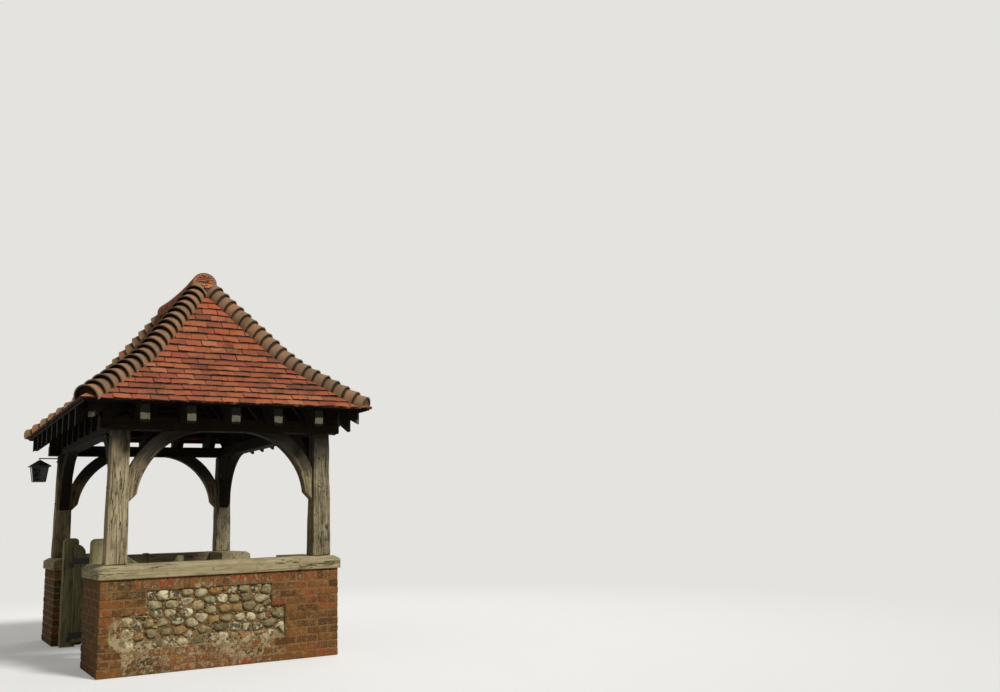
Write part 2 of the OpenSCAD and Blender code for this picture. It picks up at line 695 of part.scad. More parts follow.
// Face of the body, inset by a margin: wide under the cap and narrow at the foot
module body_face(m) {
    slope = (lamp_w - lamp_foot) / 2 / lamp_h;
    polygon([[-lamp_foot / 2 + m - slope * m, m], [lamp_foot / 2 - m + slope * m, m],
             [lamp_w / 2 - m - slope * m, lamp_h - m], [-lamp_w / 2 + m + slope * m, lamp_h - m]]);
}
module body_block(m) intersection() {
    rotate([90, 0, 0]) linear_extrude(2 * lamp_w, center = true) body_face(m);
    rotate([90, 0, 90]) linear_extrude(2 * lamp_w, center = true) body_face(m);
}
module lamp_body() translate([lamp_x, lamp_y, body_z0]) difference() {
    body_block(0);
    body_block(lamp_bar);
    rotate([90, 0, 0]) linear_extrude(2 * lamp_w, center = true) body_face(lamp_bar);
    rotate([90, 0, 90]) linear_extrude(2 * lamp_w, center = true) body_face(lamp_bar);
}
// Four panes, one behind each opening
module lantern_glass() color(glass, 0.5) translate([lamp_x, lamp_y, body_z0]) difference() {
    intersection() {
        union() {
            rotate([90, 0, 0]) linear_extrude(2 * lamp_w, center = true) body_face(lamp_bar);
            rotate([90, 0, 90]) linear_extrude(2 * lamp_w, center = true) body_face(lamp_bar);
        }
        body_block(4);
    }
    body_block(8);
}

right_wall();
left_wall();
right_flint_panel();
left_flint_panel();
right_sill();
left_sill();
front_right_post();
front_left_post();
rear_right_post();
rear_left_post();
right_wall_plate();
left_wall_plate();
front_tie_beam();
rear_tie_beam();
right_side_braces();
left_side_braces();
front_cross_braces();
rear_cross_braces();
ridge_board();
hip_rafters();
front_rafters();
rear_rafters();
right_rafters();
left_rafters();
battens();
front_tiles();
rear_tiles();
right_tiles();
left_tiles();
front_right_bonnets();
front_left_bonnets();
rear_right_bonnets();
rear_left_bonnets();
ridge_tiles();
right_gate_post();
left_gate_post();
right_gate_frame();
left_gate_frame();
right_gate_pales();
left_gate_pales();
right_gate_straps();
left_gate_straps();
gate_hooks();
lantern_frame();
lantern_glass();
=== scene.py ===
# %% [markdown]
# # A lychgate: oak, brick, flint and clay
# Two dwarf walls of brick and flint carry an oak frame, and the frame carries a steep hipped roof of hand-
# made clay tiles: a lychgate, the small roofed gateway at the edge of a churchyard. The plain solids come
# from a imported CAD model, in metres, with the road on the -Y side, and they fix every size. Added here is
# what a maker would add on site: bricks, stones, tiles, grain and weather.

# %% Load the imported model
import bpy
import numpy as np
from mathutils import Matrix


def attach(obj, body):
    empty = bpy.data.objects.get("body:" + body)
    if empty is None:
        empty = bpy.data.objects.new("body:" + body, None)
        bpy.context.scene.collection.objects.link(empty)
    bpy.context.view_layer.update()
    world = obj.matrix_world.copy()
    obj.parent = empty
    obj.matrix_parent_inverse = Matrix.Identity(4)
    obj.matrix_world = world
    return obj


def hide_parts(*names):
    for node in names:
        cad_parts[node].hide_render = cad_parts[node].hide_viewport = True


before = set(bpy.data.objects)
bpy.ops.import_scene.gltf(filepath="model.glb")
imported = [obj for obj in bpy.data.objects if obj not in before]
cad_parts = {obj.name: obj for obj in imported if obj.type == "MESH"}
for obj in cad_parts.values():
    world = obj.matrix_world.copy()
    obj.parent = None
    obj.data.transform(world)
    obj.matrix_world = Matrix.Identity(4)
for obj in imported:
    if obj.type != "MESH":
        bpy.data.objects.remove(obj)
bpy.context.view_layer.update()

# %% [markdown]
# ## The camera
# The picture is taken from the road, low down and off to the right. The view was found by matching corners
# of the walls, posts and eaves, so it is given by the camera's place, its bearing, its upward tilt and a
# slight roll. Three unit vectors make the turn: right, up and back.

# %% Place the camera
def put(name, data, axes=np.eye(3), spot=(0, 0, 0)):
    """A new object in the scene. Its axes are three unit vectors, one to a row."""
    thing = bpy.data.objects.new(name, data)
    thing.matrix_world = Matrix([*np.column_stack([np.transpose(axes), spot]).tolist(), [0, 0, 0, 1]])
    bpy.context.scene.collection.objects.link(thing)
    return thing


bearing, tilt, roll = np.radians([58.170, 10.191, -1.678])
level = np.array([np.cos(bearing), np.sin(bearing), 0.0])
ahead = np.array([-np.sin(bearing) * np.cos(tilt), np.cos(bearing) * np.cos(tilt), np.sin(tilt)])
above = np.cross(level, ahead)
right = np.cos(roll) * level + np.sin(roll) * above
up = np.cos(roll) * above - np.sin(roll) * level
lens = bpy.data.cameras.new("camera")
lens.lens, lens.sensor_width, lens.sensor_fit = 34.51, 36.0, "HORIZONTAL"
camera = put("camera", lens, (right, up, -ahead), (11.609, -2.742, 1.326))
bpy.context.scene.camera = camera
bpy.context.scene.view_settings.view_transform = "Standard"
print("camera at", camera.location)

# %% [markdown]
# ## Colours and nodes
# Colours are written as on a screen, in sRGB hex, and one function turns them into the linear light that a
# renderer adds up. A material is a small graph: one helper opens it and one adds each node, whose named
# sockets are either linked or set to a value.

# %% Open a graph and add its nodes
made = {}


def linear(code):
    """A hex colour as linear light: c / 12.92 below 0.04045, and ((c + 0.055) / 1.055) to the 2.4 above."""
    c = np.array([int(code[i:i + 2], 16) for i in (1, 3, 5)]) / 255
    return (*np.where(c <= 0.04045, c / 12.92, ((c + 0.055) / 1.055) ** 2.4).tolist(), 1.0)


def begin(name, kind=bpy.data.materials):
    """Files a new material or world under its name and opens its empty graph for `add`."""
    global graph
    made[name] = kind.new(name)
    made[name].use_nodes = True
    graph = made[name].node_tree
    graph.nodes.clear()


def add(kind, settings=(), out=None, **inputs):
    """Adds one node and returns an output. `stops` are a ramp's colours, and _0, _1 name sockets by
    number."""
    node = graph.nodes.new("ShaderNode" + kind)
    for name, value in dict(settings).items():
        if name == "stops":
            while len(node.color_ramp.elements) < len(value):
                node.color_ramp.elements.new(1.0)
            for stop, (place, colour) in zip(node.color_ramp.elements, value):
                stop.position, stop.color = place, linear(colour)
        else:
            setattr(node, name, value)
    for name, value in inputs.items():
        if name[1:].isdigit():
            socket = node.inputs[int(name[1:])]
        else:
            socket = next(s for s in node.inputs if s.name == name.replace("_", " ") and s.enabled)
        if isinstance(value, bpy.types.NodeSocket):
            graph.links.new(value, socket)
        else:
            socket.default_value = linear(value) if isinstance(value, str) else value
    shown = [s for s in node.outputs if s.enabled and out in (None, s.name)]
    return shown[0] if shown else node


print("white is", linear("#ffffff"), "and mid grey is", linear("#808080"))

# %% [markdown]
# Speckle is noise whose blotches have a real size in millimetres. A band picks out the values between two
# limits. Blend lays one colour over another where a mask says so, and a coat does both at once: paint where
# a pattern runs high.

# %% Helpers for patterns
def here():
    """Where a point lies in the gate's own frame, in metres."""
    return add("TexCoord", out="Object")


def carried(name):
    """The grain or the tint that the points of every added piece carry."""
    return add("Attribute", {"attribute_name": name}, out="Vector")


def pick(vector, letter):
    """One number of a vector."""
    return add("SeparateXYZ", out=letter, Vector=vector)


def marks():
    """The grain and the three random numbers of a piece."""
    return carried("grain"), *[pick(carried("tint"), letter) for letter in "XYZ"]


def stretch(vector, share):
    """Coordinates that run slower along x, which draws a pattern out to 1 / share of its length there."""
    return add("Mapping", Vector=vector, Scale=(share, 1, 1))


def calc(operation, a, b=0.0):
    """One sum on one or two numbers."""
    return add("Math", {"operation": operation}, _0=a, _1=b)


def times(a, b):
    """A product."""
    return calc("MULTIPLY", a, b)


def speckle(where, size, detail=3.0, rough=0.55, twist=0.0):
    """Noise from 0 to 1 with blotches about `size` millimetres across: its scale is 1000 / size per metre."""
    return add("TexNoise", out="Fac", Vector=where, Scale=1000 / size, Detail=detail, Roughness=rough,
               Distortion=twist)


def band(value, low, high):
    """0 below `low`, 1 above `high`, with a smooth rise between. Swapped limits turn it over."""
    return add("MapRange", {"interpolation_type": "SMOOTHSTEP"}, Value=value, From_Min=low, From_Max=high)


def blend(mask, under, over):
    """The colour `over` laid on `under` wherever the mask is 1."""
    return add("Mix", {"data_type": "RGBA"}, Factor=mask, A=under, B=over)


def coat(under, over, pattern, low, high, amount):
    """The colour `over` laid on by `amount` where the pattern is above `high`, and not below `low`."""
    return blend(times(band(pattern, low, high), amount), under, over)


def ramp(value, *stops):
    """A number turned into a colour by stops from 0 to 1."""
    return add("ValToRGB", {"stops": stops}, out="Color", Fac=value)


def matt(colour, roughness, height, depth, shine=0.5):
    """Ends a material: colour and roughness into the shader, and a bump `depth` millimetres deep."""
    bump = add("Bump", Strength=1.0, Distance=depth / 1000, Height=height)
    surface = add("BsdfPrincipled", out="BSDF", Base_Color=colour, Roughness=roughness, Normal=bump,
                  Specular_IOR_Level=shine)
    add("OutputMaterial", Surface=surface)


print("pattern helpers are ready")

# %% [markdown]
# ## From arrays to meshes
# Every added piece is a surface worked out as whole arrays. A shape is a stack of rings of points, so its
# faces follow from counting, and shapes that repeat are made at once, with one more axis in the array. Each
# point carries its place inside its own timber, brick or tile (grain), and three random numbers that all
# points of that one share (tint).

# %% Helpers that count faces and fill a mesh
SIDES, ENDS = (("right", 1), ("left", -1)), (("front", 1), ("rear", -1))
SLOTS = {"lime_mortar": "brick", "bedding_mortar": "bonnet_tile", "shaded_mortar": "bonnet_tile",
         "hip_mortar": "bonnet_tile", "slip_tile": "roof_tile", "ridge_tile": "bonnet_tile",
         "sill_oak": "oak", "yard_oak_painted_shade": "oak", "brace_oak": "oak"}


def unit(vectors):
    """Vectors divided by their own lengths."""
    vectors = np.asarray(vectors, float)
    return vectors / np.linalg.norm(vectors, axis=-1, keepdims=True)


def circle(points):
    """Unit vectors all the way round, as rows of x and y."""
    turn = np.linspace(0, 2 * np.pi, points + 1)[:-1]
    return np.stack([np.cos(turn), np.sin(turn)], -1)


def ripple(points, size, seed):
    """Smooth bumps: twice the mean of twelve sine waves, each `size` metres long, in random directions."""
    draw = np.random.default_rng(seed)
    way = draw.normal(size=(3, 12))
    way *= 2 * np.pi / size / np.linalg.norm(way, axis=0)
    return 2 * np.sin(points @ way + draw.uniform(0, 2 * np.pi, 12)).mean(-1)


def smooth(value, low, high):
    """0 at `low`, 1 at `high`, 3t squared less 2t cubed between. Low may be the greater."""
    t = np.clip((value - low) / (high - low), 0, 1)
    return t * t * (3 - 2 * t)


def ring_faces(shapes, rings, points, tube=True, ends=True):
    """Faces of many alike stacks of rings: quads between neighbours, and one flat face on each end."""
    first = np.arange(shapes)[:, None, None] * rings * points
    r = np.arange(rings - 1)[None, :, None] * points
    c = np.arange(points if tube else points - 1)[None, None, :]
    d = (c + 1) % points
    quads = np.stack([first + r + c, first + r + d, first + r + points + d, first + r + points + c], -1)
    faces = [quads.reshape(-1, 4)]
    if tube and ends:
        loop = first[:, 0] + np.arange(points)
        faces += [loop[:, ::-1], loop + (rings - 1) * points]
    return faces


def part(points, faces, grain=None, tint=0.5):
    """Shapes that share one set of faces, turned outwards: their summed volume must come out positive."""
    points = np.asarray(points, float)
    flat = points.reshape(-1, 3)
    grain = flat if grain is None else np.broadcast_to(grain, points.shape).reshape(-1, 3)
    tint = np.broadcast_to(tint, points.shape).reshape(-1, 3)
    volume = 0.0
    for f in faces:
        for i in range(1, f.shape[1] - 1):
            volume += np.einsum("ij,ij->", flat[f[:, 0]], np.cross(flat[f[:, i]], flat[f[:, i + 1]]))
    return flat, faces if volume > 0 else [f[:, ::-1] for f in faces], grain, tint


def mirrored(parts, x=1, y=1):
    """Parts reflected across the middle of the gate, their faces turned the right way again. A copy gets
    tints of its own, so no two corners are stained alike."""
    flip, fresh = np.array([x, y, 1.0]), np.array([1, 1, 0]) * (x + y < 2)
    return [(p * flip, [f[:, ::-1] for f in faces] if x * y < 0 else faces, g,
             t + fresh * ((t * 7.3 + (1 - x) * 0.31 + (1 - y) * 0.17) % 1 - t)) for p, faces, g, t in parts]


def surface(name, points, faces, finish):
    """An object at the origin with one mesh and one material."""
    mesh = bpy.data.meshes.new(name)
    mesh.from_pydata(points, [], faces)
    mesh.materials.append(made[finish])
    return put(name, mesh)


def piece(name, parts, finish, node="", body="frame", crease=None):
    """Joins parts into one mesh with its grain and tint, rides it on its body and hides the CAD solid it
    stands for.
    Only edges sharper than `crease` degrees stay sharp."""
    starts = np.cumsum([0] + [len(p[0]) for p in parts])
    faces = sum(((f + start).tolist() for (_, fs, _, _), start in zip(parts, starts) for f in fs), [])
    thing = surface(name, np.concatenate([p[0] for p in parts]), faces, finish)
    for key, index in (("grain", 2), ("tint", 3)):
        values = np.concatenate([p[index] for p in parts]).astype("f4")
        thing.data.attributes.new(key, "FLOAT_VECTOR", "POINT").data.foreach_set("vector", values.ravel())
    if crease is not None:
        thing.data.shade_smooth()
        thing.data.set_sharp_from_angle(angle=np.radians(crease))
    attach(thing, body)
    SLOTS.get(finish, finish)
    if node:
        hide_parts(node)
    print(name, "has", sum(len(f) - 2 for f in faces), "triangles")


def dress(node, finish):
    """Gives a solid of the CAD model its material."""
    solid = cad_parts[node]
    solid.data.materials.clear()
    solid.data.materials.append(made[finish])


print("mesh helpers are ready")

# %% [markdown]
# ## Floor, background and light
# A plain pale floor takes the shadow. For the camera alone it glows faintly and fades, between 4 and 11 m
# out, into the background, so no horizon cuts the picture. To bounced light it is as dark as grass. The
# main sun is soft and stands to the right and above, as on the day the gate was seen. A wide, weak one
# comes from behind and a pale sky fills the shadows. A face turned to the sun is lit at about 1, so a
# colour renders about as it is written.

# %% Make the floor and the lights
PALE = "#e4e3df"


def in_view():
    """1 on rays from the camera, straight or by way of gloss or glass, and 0 on bounced light."""
    rays = [add("LightPath", out="Is " + kind + " Ray") for kind in ("Camera", "Glossy", "Transmission")]
    return calc("MAXIMUM", calc("MAXIMUM", rays[0], rays[1]), rays[2])


begin("pale_floor")
pale = blend(speckle(here(), 900), "#f1f0ec", "#f5f4f0")
eye = add("LightPath", out="Is Camera Ray")
paint = add("BsdfDiffuse", Color=blend(in_view(), "#9a978f", pale))
lift = add("Emission", Color=PALE, Strength=times(eye, 0.27))
far = add("VectorMath", {"operation": "LENGTH"}, out="Value", _0=here())
far = times(band(far, 4.0, 11.0), eye)
glow = add("Emission", Color=PALE, Strength=1.0)
paint = add("AddShader", _0=paint, _1=lift)
add("OutputMaterial", Surface=add("MixShader", _0=far, _1=paint, _2=glow))

disc = np.array([0.0, 2.5, 5, 8, 12, 20, 40])[:, None, None] * circle(64)
disc = np.concatenate([disc, np.full((7, 64, 1), -0.002)], -1).reshape(-1, 3)
floor = surface("floor", disc, ring_faces(1, 7, 64, ends=False)[0][:, ::-1].tolist(), "pale_floor")

begin("studio", bpy.data.worlds)
fill = add("Background", Color="#fbfcff", Strength=0.17)
shown = add("Background", Color=PALE, Strength=1.0)
add("OutputWorld", Surface=add("MixShader", _0=in_view(), _1=fill, _2=shown))
bpy.context.scene.world = made["studio"]


def sun(name, strength, spread, toward):
    """A sun lamp: `toward` points from the gate to the lamp, and `spread` is its width in degrees."""
    lamp = bpy.data.lights.new(name, "SUN")
    lamp.energy, lamp.angle = strength, np.radians(spread)
    x = unit(np.cross([0, 0, 1.0], unit(toward)))
    put(name, lamp, (x, np.cross(unit(toward), x), unit(toward)))


sun("key", 2.35, 12, (1.0, 0.38, 0.95))
sun("side", 0.04, 60, (0.3, -1.0, 0.7))
sun("back", 0.55, 70, (-1.0, 0.8, 0.5))
print("floor, sky and three soft suns are set")

# %% [markdown]
# ## Timber
# Each timber was sawn square, and years of rain have eased its edges. It is a rectangle carried along a
# path, given by two edge lines and a thickness, which suits a straight post, a tapering one and a curved
# brace alike. Oak moves as it dries, so no face is quite flat.

# %% A timber between two edge lines
def along(line, places):
    """Points at fractions of a line's length, by straight steps between its given points."""
    line = np.asarray(line, float)
    reach = np.concatenate([[0], np.cumsum(np.linalg.norm(np.diff(line, axis=0), axis=1))])
    return np.stack([np.interp(places * reach[-1], reach, line[:, i]) for i in range(3)], -1)


def timber(low, high, normal, thick, ease=0.005, wave=0.0012, steps=24, seed=0, thick_end=None):
    """A rectangle with eased corners at each step, as wide as from line `low` to line `high`, and thick
    along `normal`. The first and last rings are drawn in, which eases the ends too."""
    draw = np.random.default_rng(seed)
    reach = np.linalg.norm(np.diff(np.asarray(low, float), axis=0), axis=1).sum() + 1e-6
    first = min(ease / reach, 0.3)
    places = np.concatenate([[0], np.linspace(first, 1 - first, steps), [1]])
    a, b = along(low, places), along(high, places)
    thick = np.interp(places, [0, 1], [thick, thick if thick_end is None else thick_end])
    wide = np.linalg.norm(b - a, axis=1)
    w = (b - a) / np.maximum(wide, 1e-6)[:, None]
    n = unit(normal)
    # Three points round each corner, then two on the side that follows, as signs and as ways out
    corner = np.array([(1, 1), (-1, 1), (-1, -1), (1, -1)])[:, None]
    signs = corner + np.array([0, 0, 0, 1, 2])[:, None] / 3 * (np.roll(corner, -1, 0) - corner)
    cx, cy = signs.reshape(20, 2).T[:, None]
    turn = np.radians([0, 45, 90, 90, 90] + 90 * np.arange(4)[:, None]).reshape(1, 20)
    ox, oy = np.cos(turn), np.sin(turn)
    drawn = np.where((places == 0) | (places == 1), ease, 0)[:, None]
    half_w, half_t = wide[:, None] / 2, thick[:, None] / 2
    r = np.minimum(ease, 0.45 * np.minimum(half_w, half_t))
    across = cx * np.maximum(half_w - r - drawn, 0.0005) + ox * r
    deep = cy * np.maximum(half_t - r - drawn, 0.0005) + oy * r
    points = (a + b)[:, None] / 2 + w[:, None] * across[..., None] + n * deep[..., None]
    bump = wave * (ripple(points + seed, 0.35, 3) - 0.8)
    points = points + bump[..., None] * (w[:, None] * ox[..., None] + n * oy[..., None])
    travel = np.concatenate([[0], np.cumsum(np.linalg.norm(np.diff((a + b) / 2, axis=0), axis=1))])
    grain = np.stack([np.broadcast_to(travel[:, None], across.shape), across, deep], -1)
    grain = grain + draw.uniform(-9, 9, 3) * (1, 0.02, 0.02) + (0, *draw.uniform(-0.15, 0.15, 2))
    return part(points, ring_faces(1, *across.shape), grain, draw.random(3))


print("a timber ring has", 4 * (3 + 2), "points")

# %% [markdown]
# ## Oak
# The frame is English oak that was never painted. Sun and rain turn it silver-grey with fine ridges, and
# drying opens long splits, while under the eaves it keeps its brown. There, and high on the posts and
# braces, it is also darkened as painted shade under the roof. The pattern is solid: it is read from each
# timber's own coordinates, so it runs along that timber and shows end grain where it is cut.

# %% The oak material
def oak(name, pale, middle, dark, split, lichen, dirt, turn=None, heads=None, flecks=0.0):
    """Weathered oak. `turn` gives the angles that lay the grain along x where a solid has none of its own,
    and then the sawn ends at the eaves are painted dark as shade, with a pale band low on each. `heads` says
    between which heights the wood is darkened as painted shade under the roof, and how much, and `flecks`
    how strongly short dark checks mark it."""
    begin(name)
    place = here()
    if turn is None:
        grain, shade = carried("grain"), pick(carried("tint"), "X")
    else:
        grain = add("Mapping", Vector=place, Rotation=tuple(np.radians(turn)))
        shade = speckle(grain, 1500)
    # Fibres 5 mm wide and 400 mm long, drawn coarser than real ones so that they show, and bands 15 mm wide
    fibre = stretch(grain, 0.012)
    fine, broad = speckle(fibre, 5, 3, 0.6), speckle(fibre, 15, 3, 0.6, 0.3)
    wood = ramp(calc("ADD", times(fine, 0.55), times(broad, 0.45)), (0.34, dark), (0.5, middle), (0.62, pale))
    wood = coat(wood, dark, speckle(stretch(grain, 0.25), 55, 4, 0.65), 0.52, 0.66, 0.85)
    wood = coat(wood, dark, speckle(place, 210, 4, 0.6), 0.42, 0.68, 0.45)
    wood = coat(wood, pale, shade, 0.3, 1.0, 0.25)
    # Dirt lies in blotches, and lichen grows in small pale rosettes
    wood = coat(wood, "#4d4a38", speckle(place, 60, 5, 0.7), 0.56, 0.7, dirt)
    rosette = times(band(speckle(place, 14, 3, 0.7), 0.66, 0.7), band(speckle(place, 170, 2), 0.5, 0.6))
    wood = blend(times(rosette, lichen), wood, "#cfccb4")
    # Short checks where the surface has roughened, about 12 mm wide and 60 mm long
    wood = coat(wood, dark, speckle(stretch(grain, 0.2), 13, 4, 0.7), 0.53, 0.63, flecks)
    # Splits: thin lines where slow noise crosses its middle value, about 300 mm long
    slow = stretch(grain, 0.075)
    wander = calc("SUBTRACT", speckle(slow, 38, 2.5, 0.5, 0.4), 0.5)
    crack = times(band(calc("ABSOLUTE", wander), 0.024, 0.006), band(speckle(slow, 120, 1), 0.42, 0.52))
    wood = blend(times(crack, split), wood, "#2a2012")
    outward = add("VectorMath", {"operation": "ABSOLUTE"}, out="Vector", _0=place)
    x, y, z = (pick(outward, letter) for letter in "XYZ")
    # Painted shade: from the first height up, the wood darkens towards the eaves, as in the shade under the
    # roof
    if heads:
        low, high, amount = heads
        wood = coat(wood, "#1d1812", calc("ADD", z, times(speckle(place, 130, 3), 0.25)), low, high, amount)
    if turn is not None:
        # The end slopes' plumb cuts lie past 2.215 m along X, and a hip's past 3.46 m along X and Y together
        cut = calc("MAXIMUM", band(x, 2.212, 2.218), band(calc("ADD", x, y), 3.455, 3.463))
        edge = calc("ADD", z, times(speckle(place, 40, 3), 0.03))
        # The sawn ends are painted dark as shade, all but a pale grey band low on each: painted light where
        # the sun reaches below the tiles' shadow
        wood = blend(times(cut, 0.9), wood, "#14110c")
        cut = times(times(cut, band(edge, 2.350, 2.361)), band(edge, 2.424, 2.411))
        wood = blend(cut, wood, blend(speckle(place, 16, 4, 0.7), "#47422f", "#918971"))
    height = calc("ADD", times(fine, 0.35), times(crack, -1.6))
    matt(wood, 0.86, calc("ADD", height, times(broad, 0.5)), 2.8, 0.3 if lichen else 0.1)


# The heads ranges paint shade on the upper posts and braces, under the roof
oak("oak", "#d9c9a0", "#a99671", "#4f402a", 0.9, 0.7, 0.4, heads=(1.98, 2.36, 0.85), flecks=0.55)
# The yard posts' oak: darker colours as painted shade, with more splits, checks, lichen and dirt
oak("yard_oak_painted_shade", "#c4b893", "#948766", "#382f1f", 0.95, 1.0, 0.6, heads=(1.85, 2.30, 0.9), flecks=0.95)
oak("brace_oak", "#cdbd94", "#9d8a66", "#4a3c28", 0.9, 0.6, 0.4, heads=(1.86, 2.22, 0.95), flecks=0.4)
oak("sill_oak", "#cfc095", "#b3a27a", "#85754f", 0.75, 0.8, 0.35)
# Plates, ties and cross braces: oak that keeps its brown under the roof, darkened much further as painted
# shade
oak("sheltered_oak", "#352d22", "#241e16", "#15110c", 0.7, 0.0, 0.2)
oak("gate_oak", "#bdb384", "#9c9367", "#686043", 0.6, 0.7, 0.3)
print("oak finishes:", [name for name in made if "oak" in name])

# %% [markdown]
# The rafters, hips, ridge board and battens keep their CAD solids, because from below they are plain sawn
# sticks. They get the oak turned so that its grain runs up each slope, darkened nearly to black as painted
# shade under the roof.

# %% Dress the roof timbers
# Near-black oak for the roof timbers: painted shade under the roof
for name, turn, *nodes in (("front_rafter_oak", (-52.5, 0, -90), "front_rafters"),
                           ("rear_rafter_oak", (52.5, 0, -90), "rear_rafters"),
                           ("right_rafter_oak", (0, -52.5, 0), "right_rafters"),
                           ("left_rafter_oak", (0, 52.5, 0), "left_rafters"),
                           ("level_oak", (0, 0, 0), "ridge_board", "battens"),
                           ("hip_oak", (0, 0, 45), "hip_rafters")):
    oak(name, "#382f24", "#262018", "#15110c", 0.6, 0.0, 0.2, turn)
    for node in nodes:
        dress(node, name)
print("roof timbers dressed")

# %% [markdown]
# ## Posts, plates, ties and braces
# Four posts taper from 200 mm at the sill to 170 mm at the head. Plates lie on them along the path and ties
# run across it. The front right post is made once and mirrored to the other corners.

# %% Make the posts, the plates and the ties
POST_X, POST_Y, FOOT, HEAD, PLATE = 1.83, -1.01, 1.0, 2.27, 2.335


def beam(start, finish, reach, *rest):
    """A timber about a middle line, `reach` to each side of it at its start and its finish."""
    lines = [[np.add(start, s * np.array(reach[0])), np.add(finish, s * np.array(reach[1]))] for s in (-1, 1)]
    return timber(*lines, *rest)


corners = {"front_right": (1, 1), "front_left": (-1, 1), "rear_right": (1, -1), "rear_left": (-1, -1)}
for i, (name, (x, y)) in enumerate(corners.items()):
    post = beam((POST_X, POST_Y, FOOT), (POST_X, POST_Y, HEAD), ((0.1, 0, 0), (0.085, 0, 0)), (0, 1, 0),
                0.200, 0.009, 0.0038, 48, 11 + i, 0.170)
    # The two posts on the yard side get a darker oak, painted shade, with more splits, checks, lichen and
    # dirt
    piece(name + "_oak_post", mirrored([post], x, y), "oak" if y > 0 else "yard_oak_painted_shade", name + "_post")
for i, (side, x) in enumerate(SIDES):
    plate = beam((POST_X, -1.205, PLATE), (POST_X, 1.205, PLATE), 2 * [(0.085, 0, 0)], (0, 0, 1), 0.130,
                 0.006, 0.002, 60, 21 + i)
    piece(side + "_oak_plate", mirrored([plate], x), "sheltered_oak", side + "_wall_plate")
for i, (side, y) in enumerate(ENDS):
    tie = beam((-1.744, POST_Y, PLATE), (1.744, POST_Y, PLATE), 2 * [(0, 0.075, 0)], (0, 0, 1), 0.130,
               0.006, 0.002, 80, 25 + i)
    piece(side + "_oak_tie", mirrored([tie], 1, y), "sheltered_oak", side + "_tie_beam")

# %% [markdown]
# Each post throws out two braces, cut from bent wood so that the grain follows the curve. The underside is
# an arc of 705 mm radius. The back keeps 845 mm from the same centre, but stops at the plate above and at
# the leaning face of the post, so it is the nearest of those three lines, swept by angle.

# %% Make the curved braces
CENTRE_IN, CENTRE_DOWN, UNDERSIDE, BACK = 0.784, 0.701, 0.705, 0.845


def brace_lines():
    """Underside and back of a brace, in metres in from the post and up from the post's head."""
    lean = 0.015 / (HEAD - FOOT)
    low, high = np.radians(np.linspace(97.2, 172.67, 60)), np.radians(np.linspace(97.2, 179.26, 60))
    c, s = np.cos(high), np.sin(high)
    back = np.minimum(np.minimum(BACK, CENTRE_DOWN / s), (CENTRE_IN - CENTRE_DOWN * lean) / -(c + lean * s))
    return [(CENTRE_IN + r * np.cos(a), r * np.sin(a) - CENTRE_DOWN)
            for r, a in ((UNDERSIDE, low), (back, high))]


face = 0.085
side = [np.stack([0 * a + POST_X, a + POST_Y + face, b + HEAD], -1) for a, b in brace_lines()]
cross = [np.stack([POST_X - face - a, 0 * a + POST_Y, b + HEAD], -1) for a, b in brace_lines()]
for i, (name, x) in enumerate(SIDES):
    pair = [mirrored([timber(*side, (1, 0, 0), 0.120, 0.006, 0.002, 44, 31 + 2 * i + j)], x, y)[0]
            for j, y in enumerate((1, -1))]
    piece(name + "_oak_side_braces", pair, "brace_oak", name + "_side_braces")
for i, (name, y) in enumerate(ENDS):
    pair = [mirrored([timber(*cross, (0, 1, 0), 0.120, 0.006, 0.002, 44, 36 + 2 * i + j)], x, y)[0]
            for j, x in enumerate((1, -1))]
    piece(name + "_oak_cross_braces", pair, "sheltered_oak", name + "_cross_braces")
print("brace foot is", round(float(brace_lines()[0][0][-1]) * 1000), "mm from the post")

# %% [markdown]
# ## Sills
# An oak sill caps each wall, with a slope worked on its outer edge to throw off the rain. Its outline has
# five corners, each eased into a small curve. It is mitred at the wall's corners, so its outer edge runs
# further than the inner one by the sill's own width.

# %% Make the mitred sills
def eased(corners, radius):
    """A polygon with every corner replaced by three points of a small curve that touches both its sides."""
    p = np.asarray(corners, float)
    a, b = (p + radius * unit(np.roll(p, step, 0) - p) for step in (1, -1))
    return np.stack([a, (a + 2 * p + b) / 4, b], 1).reshape(-1, 2)


def sill_timber(start, finish, end, seed):
    """A sill between two cuts. A cut is its place on the inner edge and how fast it moves out with the
    distance q from there, 1 for a mitre. `end` is 0 for the long timber, and else its sign in y."""
    outline = eased([(0, 0), (0.37, 0), (0.37, 0.094), (0.315, 0.130), (0, 0.130)], 0.007)
    q, h = outline.T
    places = np.concatenate([[0], np.linspace(0.004, 0.996, 60), [1]])[:, None]
    drawn = np.where((places == 0) | (places == 1), 0.97, 1.0)
    q, h = 0.185 + (q - 0.185) * drawn, 0.065 + (h - 0.065) * drawn
    low, high = start[0] + start[1] * q, finish[0] + finish[1] * q
    run = low + (high - low) * places
    x, y = (run, end * (0.81 + q)) if end else (1.65 + q, run)
    points = np.stack([x, y, 0.87 + h], -1)
    points[..., 2] += 0.0015 * (ripple(points, 0.4, seed) - 0.9) * (h > 0.03)
    draw = np.random.default_rng(seed)
    grain = np.stack([run, q - 0.185, h - 0.06], -1) + draw.uniform(-5, 5, 3) * (1, 0.01, 0.01)
    return part(points, ring_faces(1, *q.shape), grain, draw.random(3))


for i, (name, x) in enumerate(SIDES):
    parts = [sill_timber((-0.809, -1), (0.809, 1), 0, 41 + i)]
    parts += [sill_timber((1.06, 0), (1.649, 1), y, 45 + 2 * i + j) for j, y in enumerate((-1, 1))]
    piece(name + "_oak_sill", mirrored(parts, x), "sill_oak", name + "_sill")

# %% [markdown]
# ## Brickwork
# Soft red bricks, 215 by 102 by 65 mm, are laid with 10 mm of lime mortar under a course of bricks on edge.
# At a corner one course shows a brick's side and the next its end, which makes the bond look right from
# both faces. A brick is a block with worn edges, a few dozen faces at most, so the work is in the laying:
# every face of the wall is a run, cut into bricks course by course.

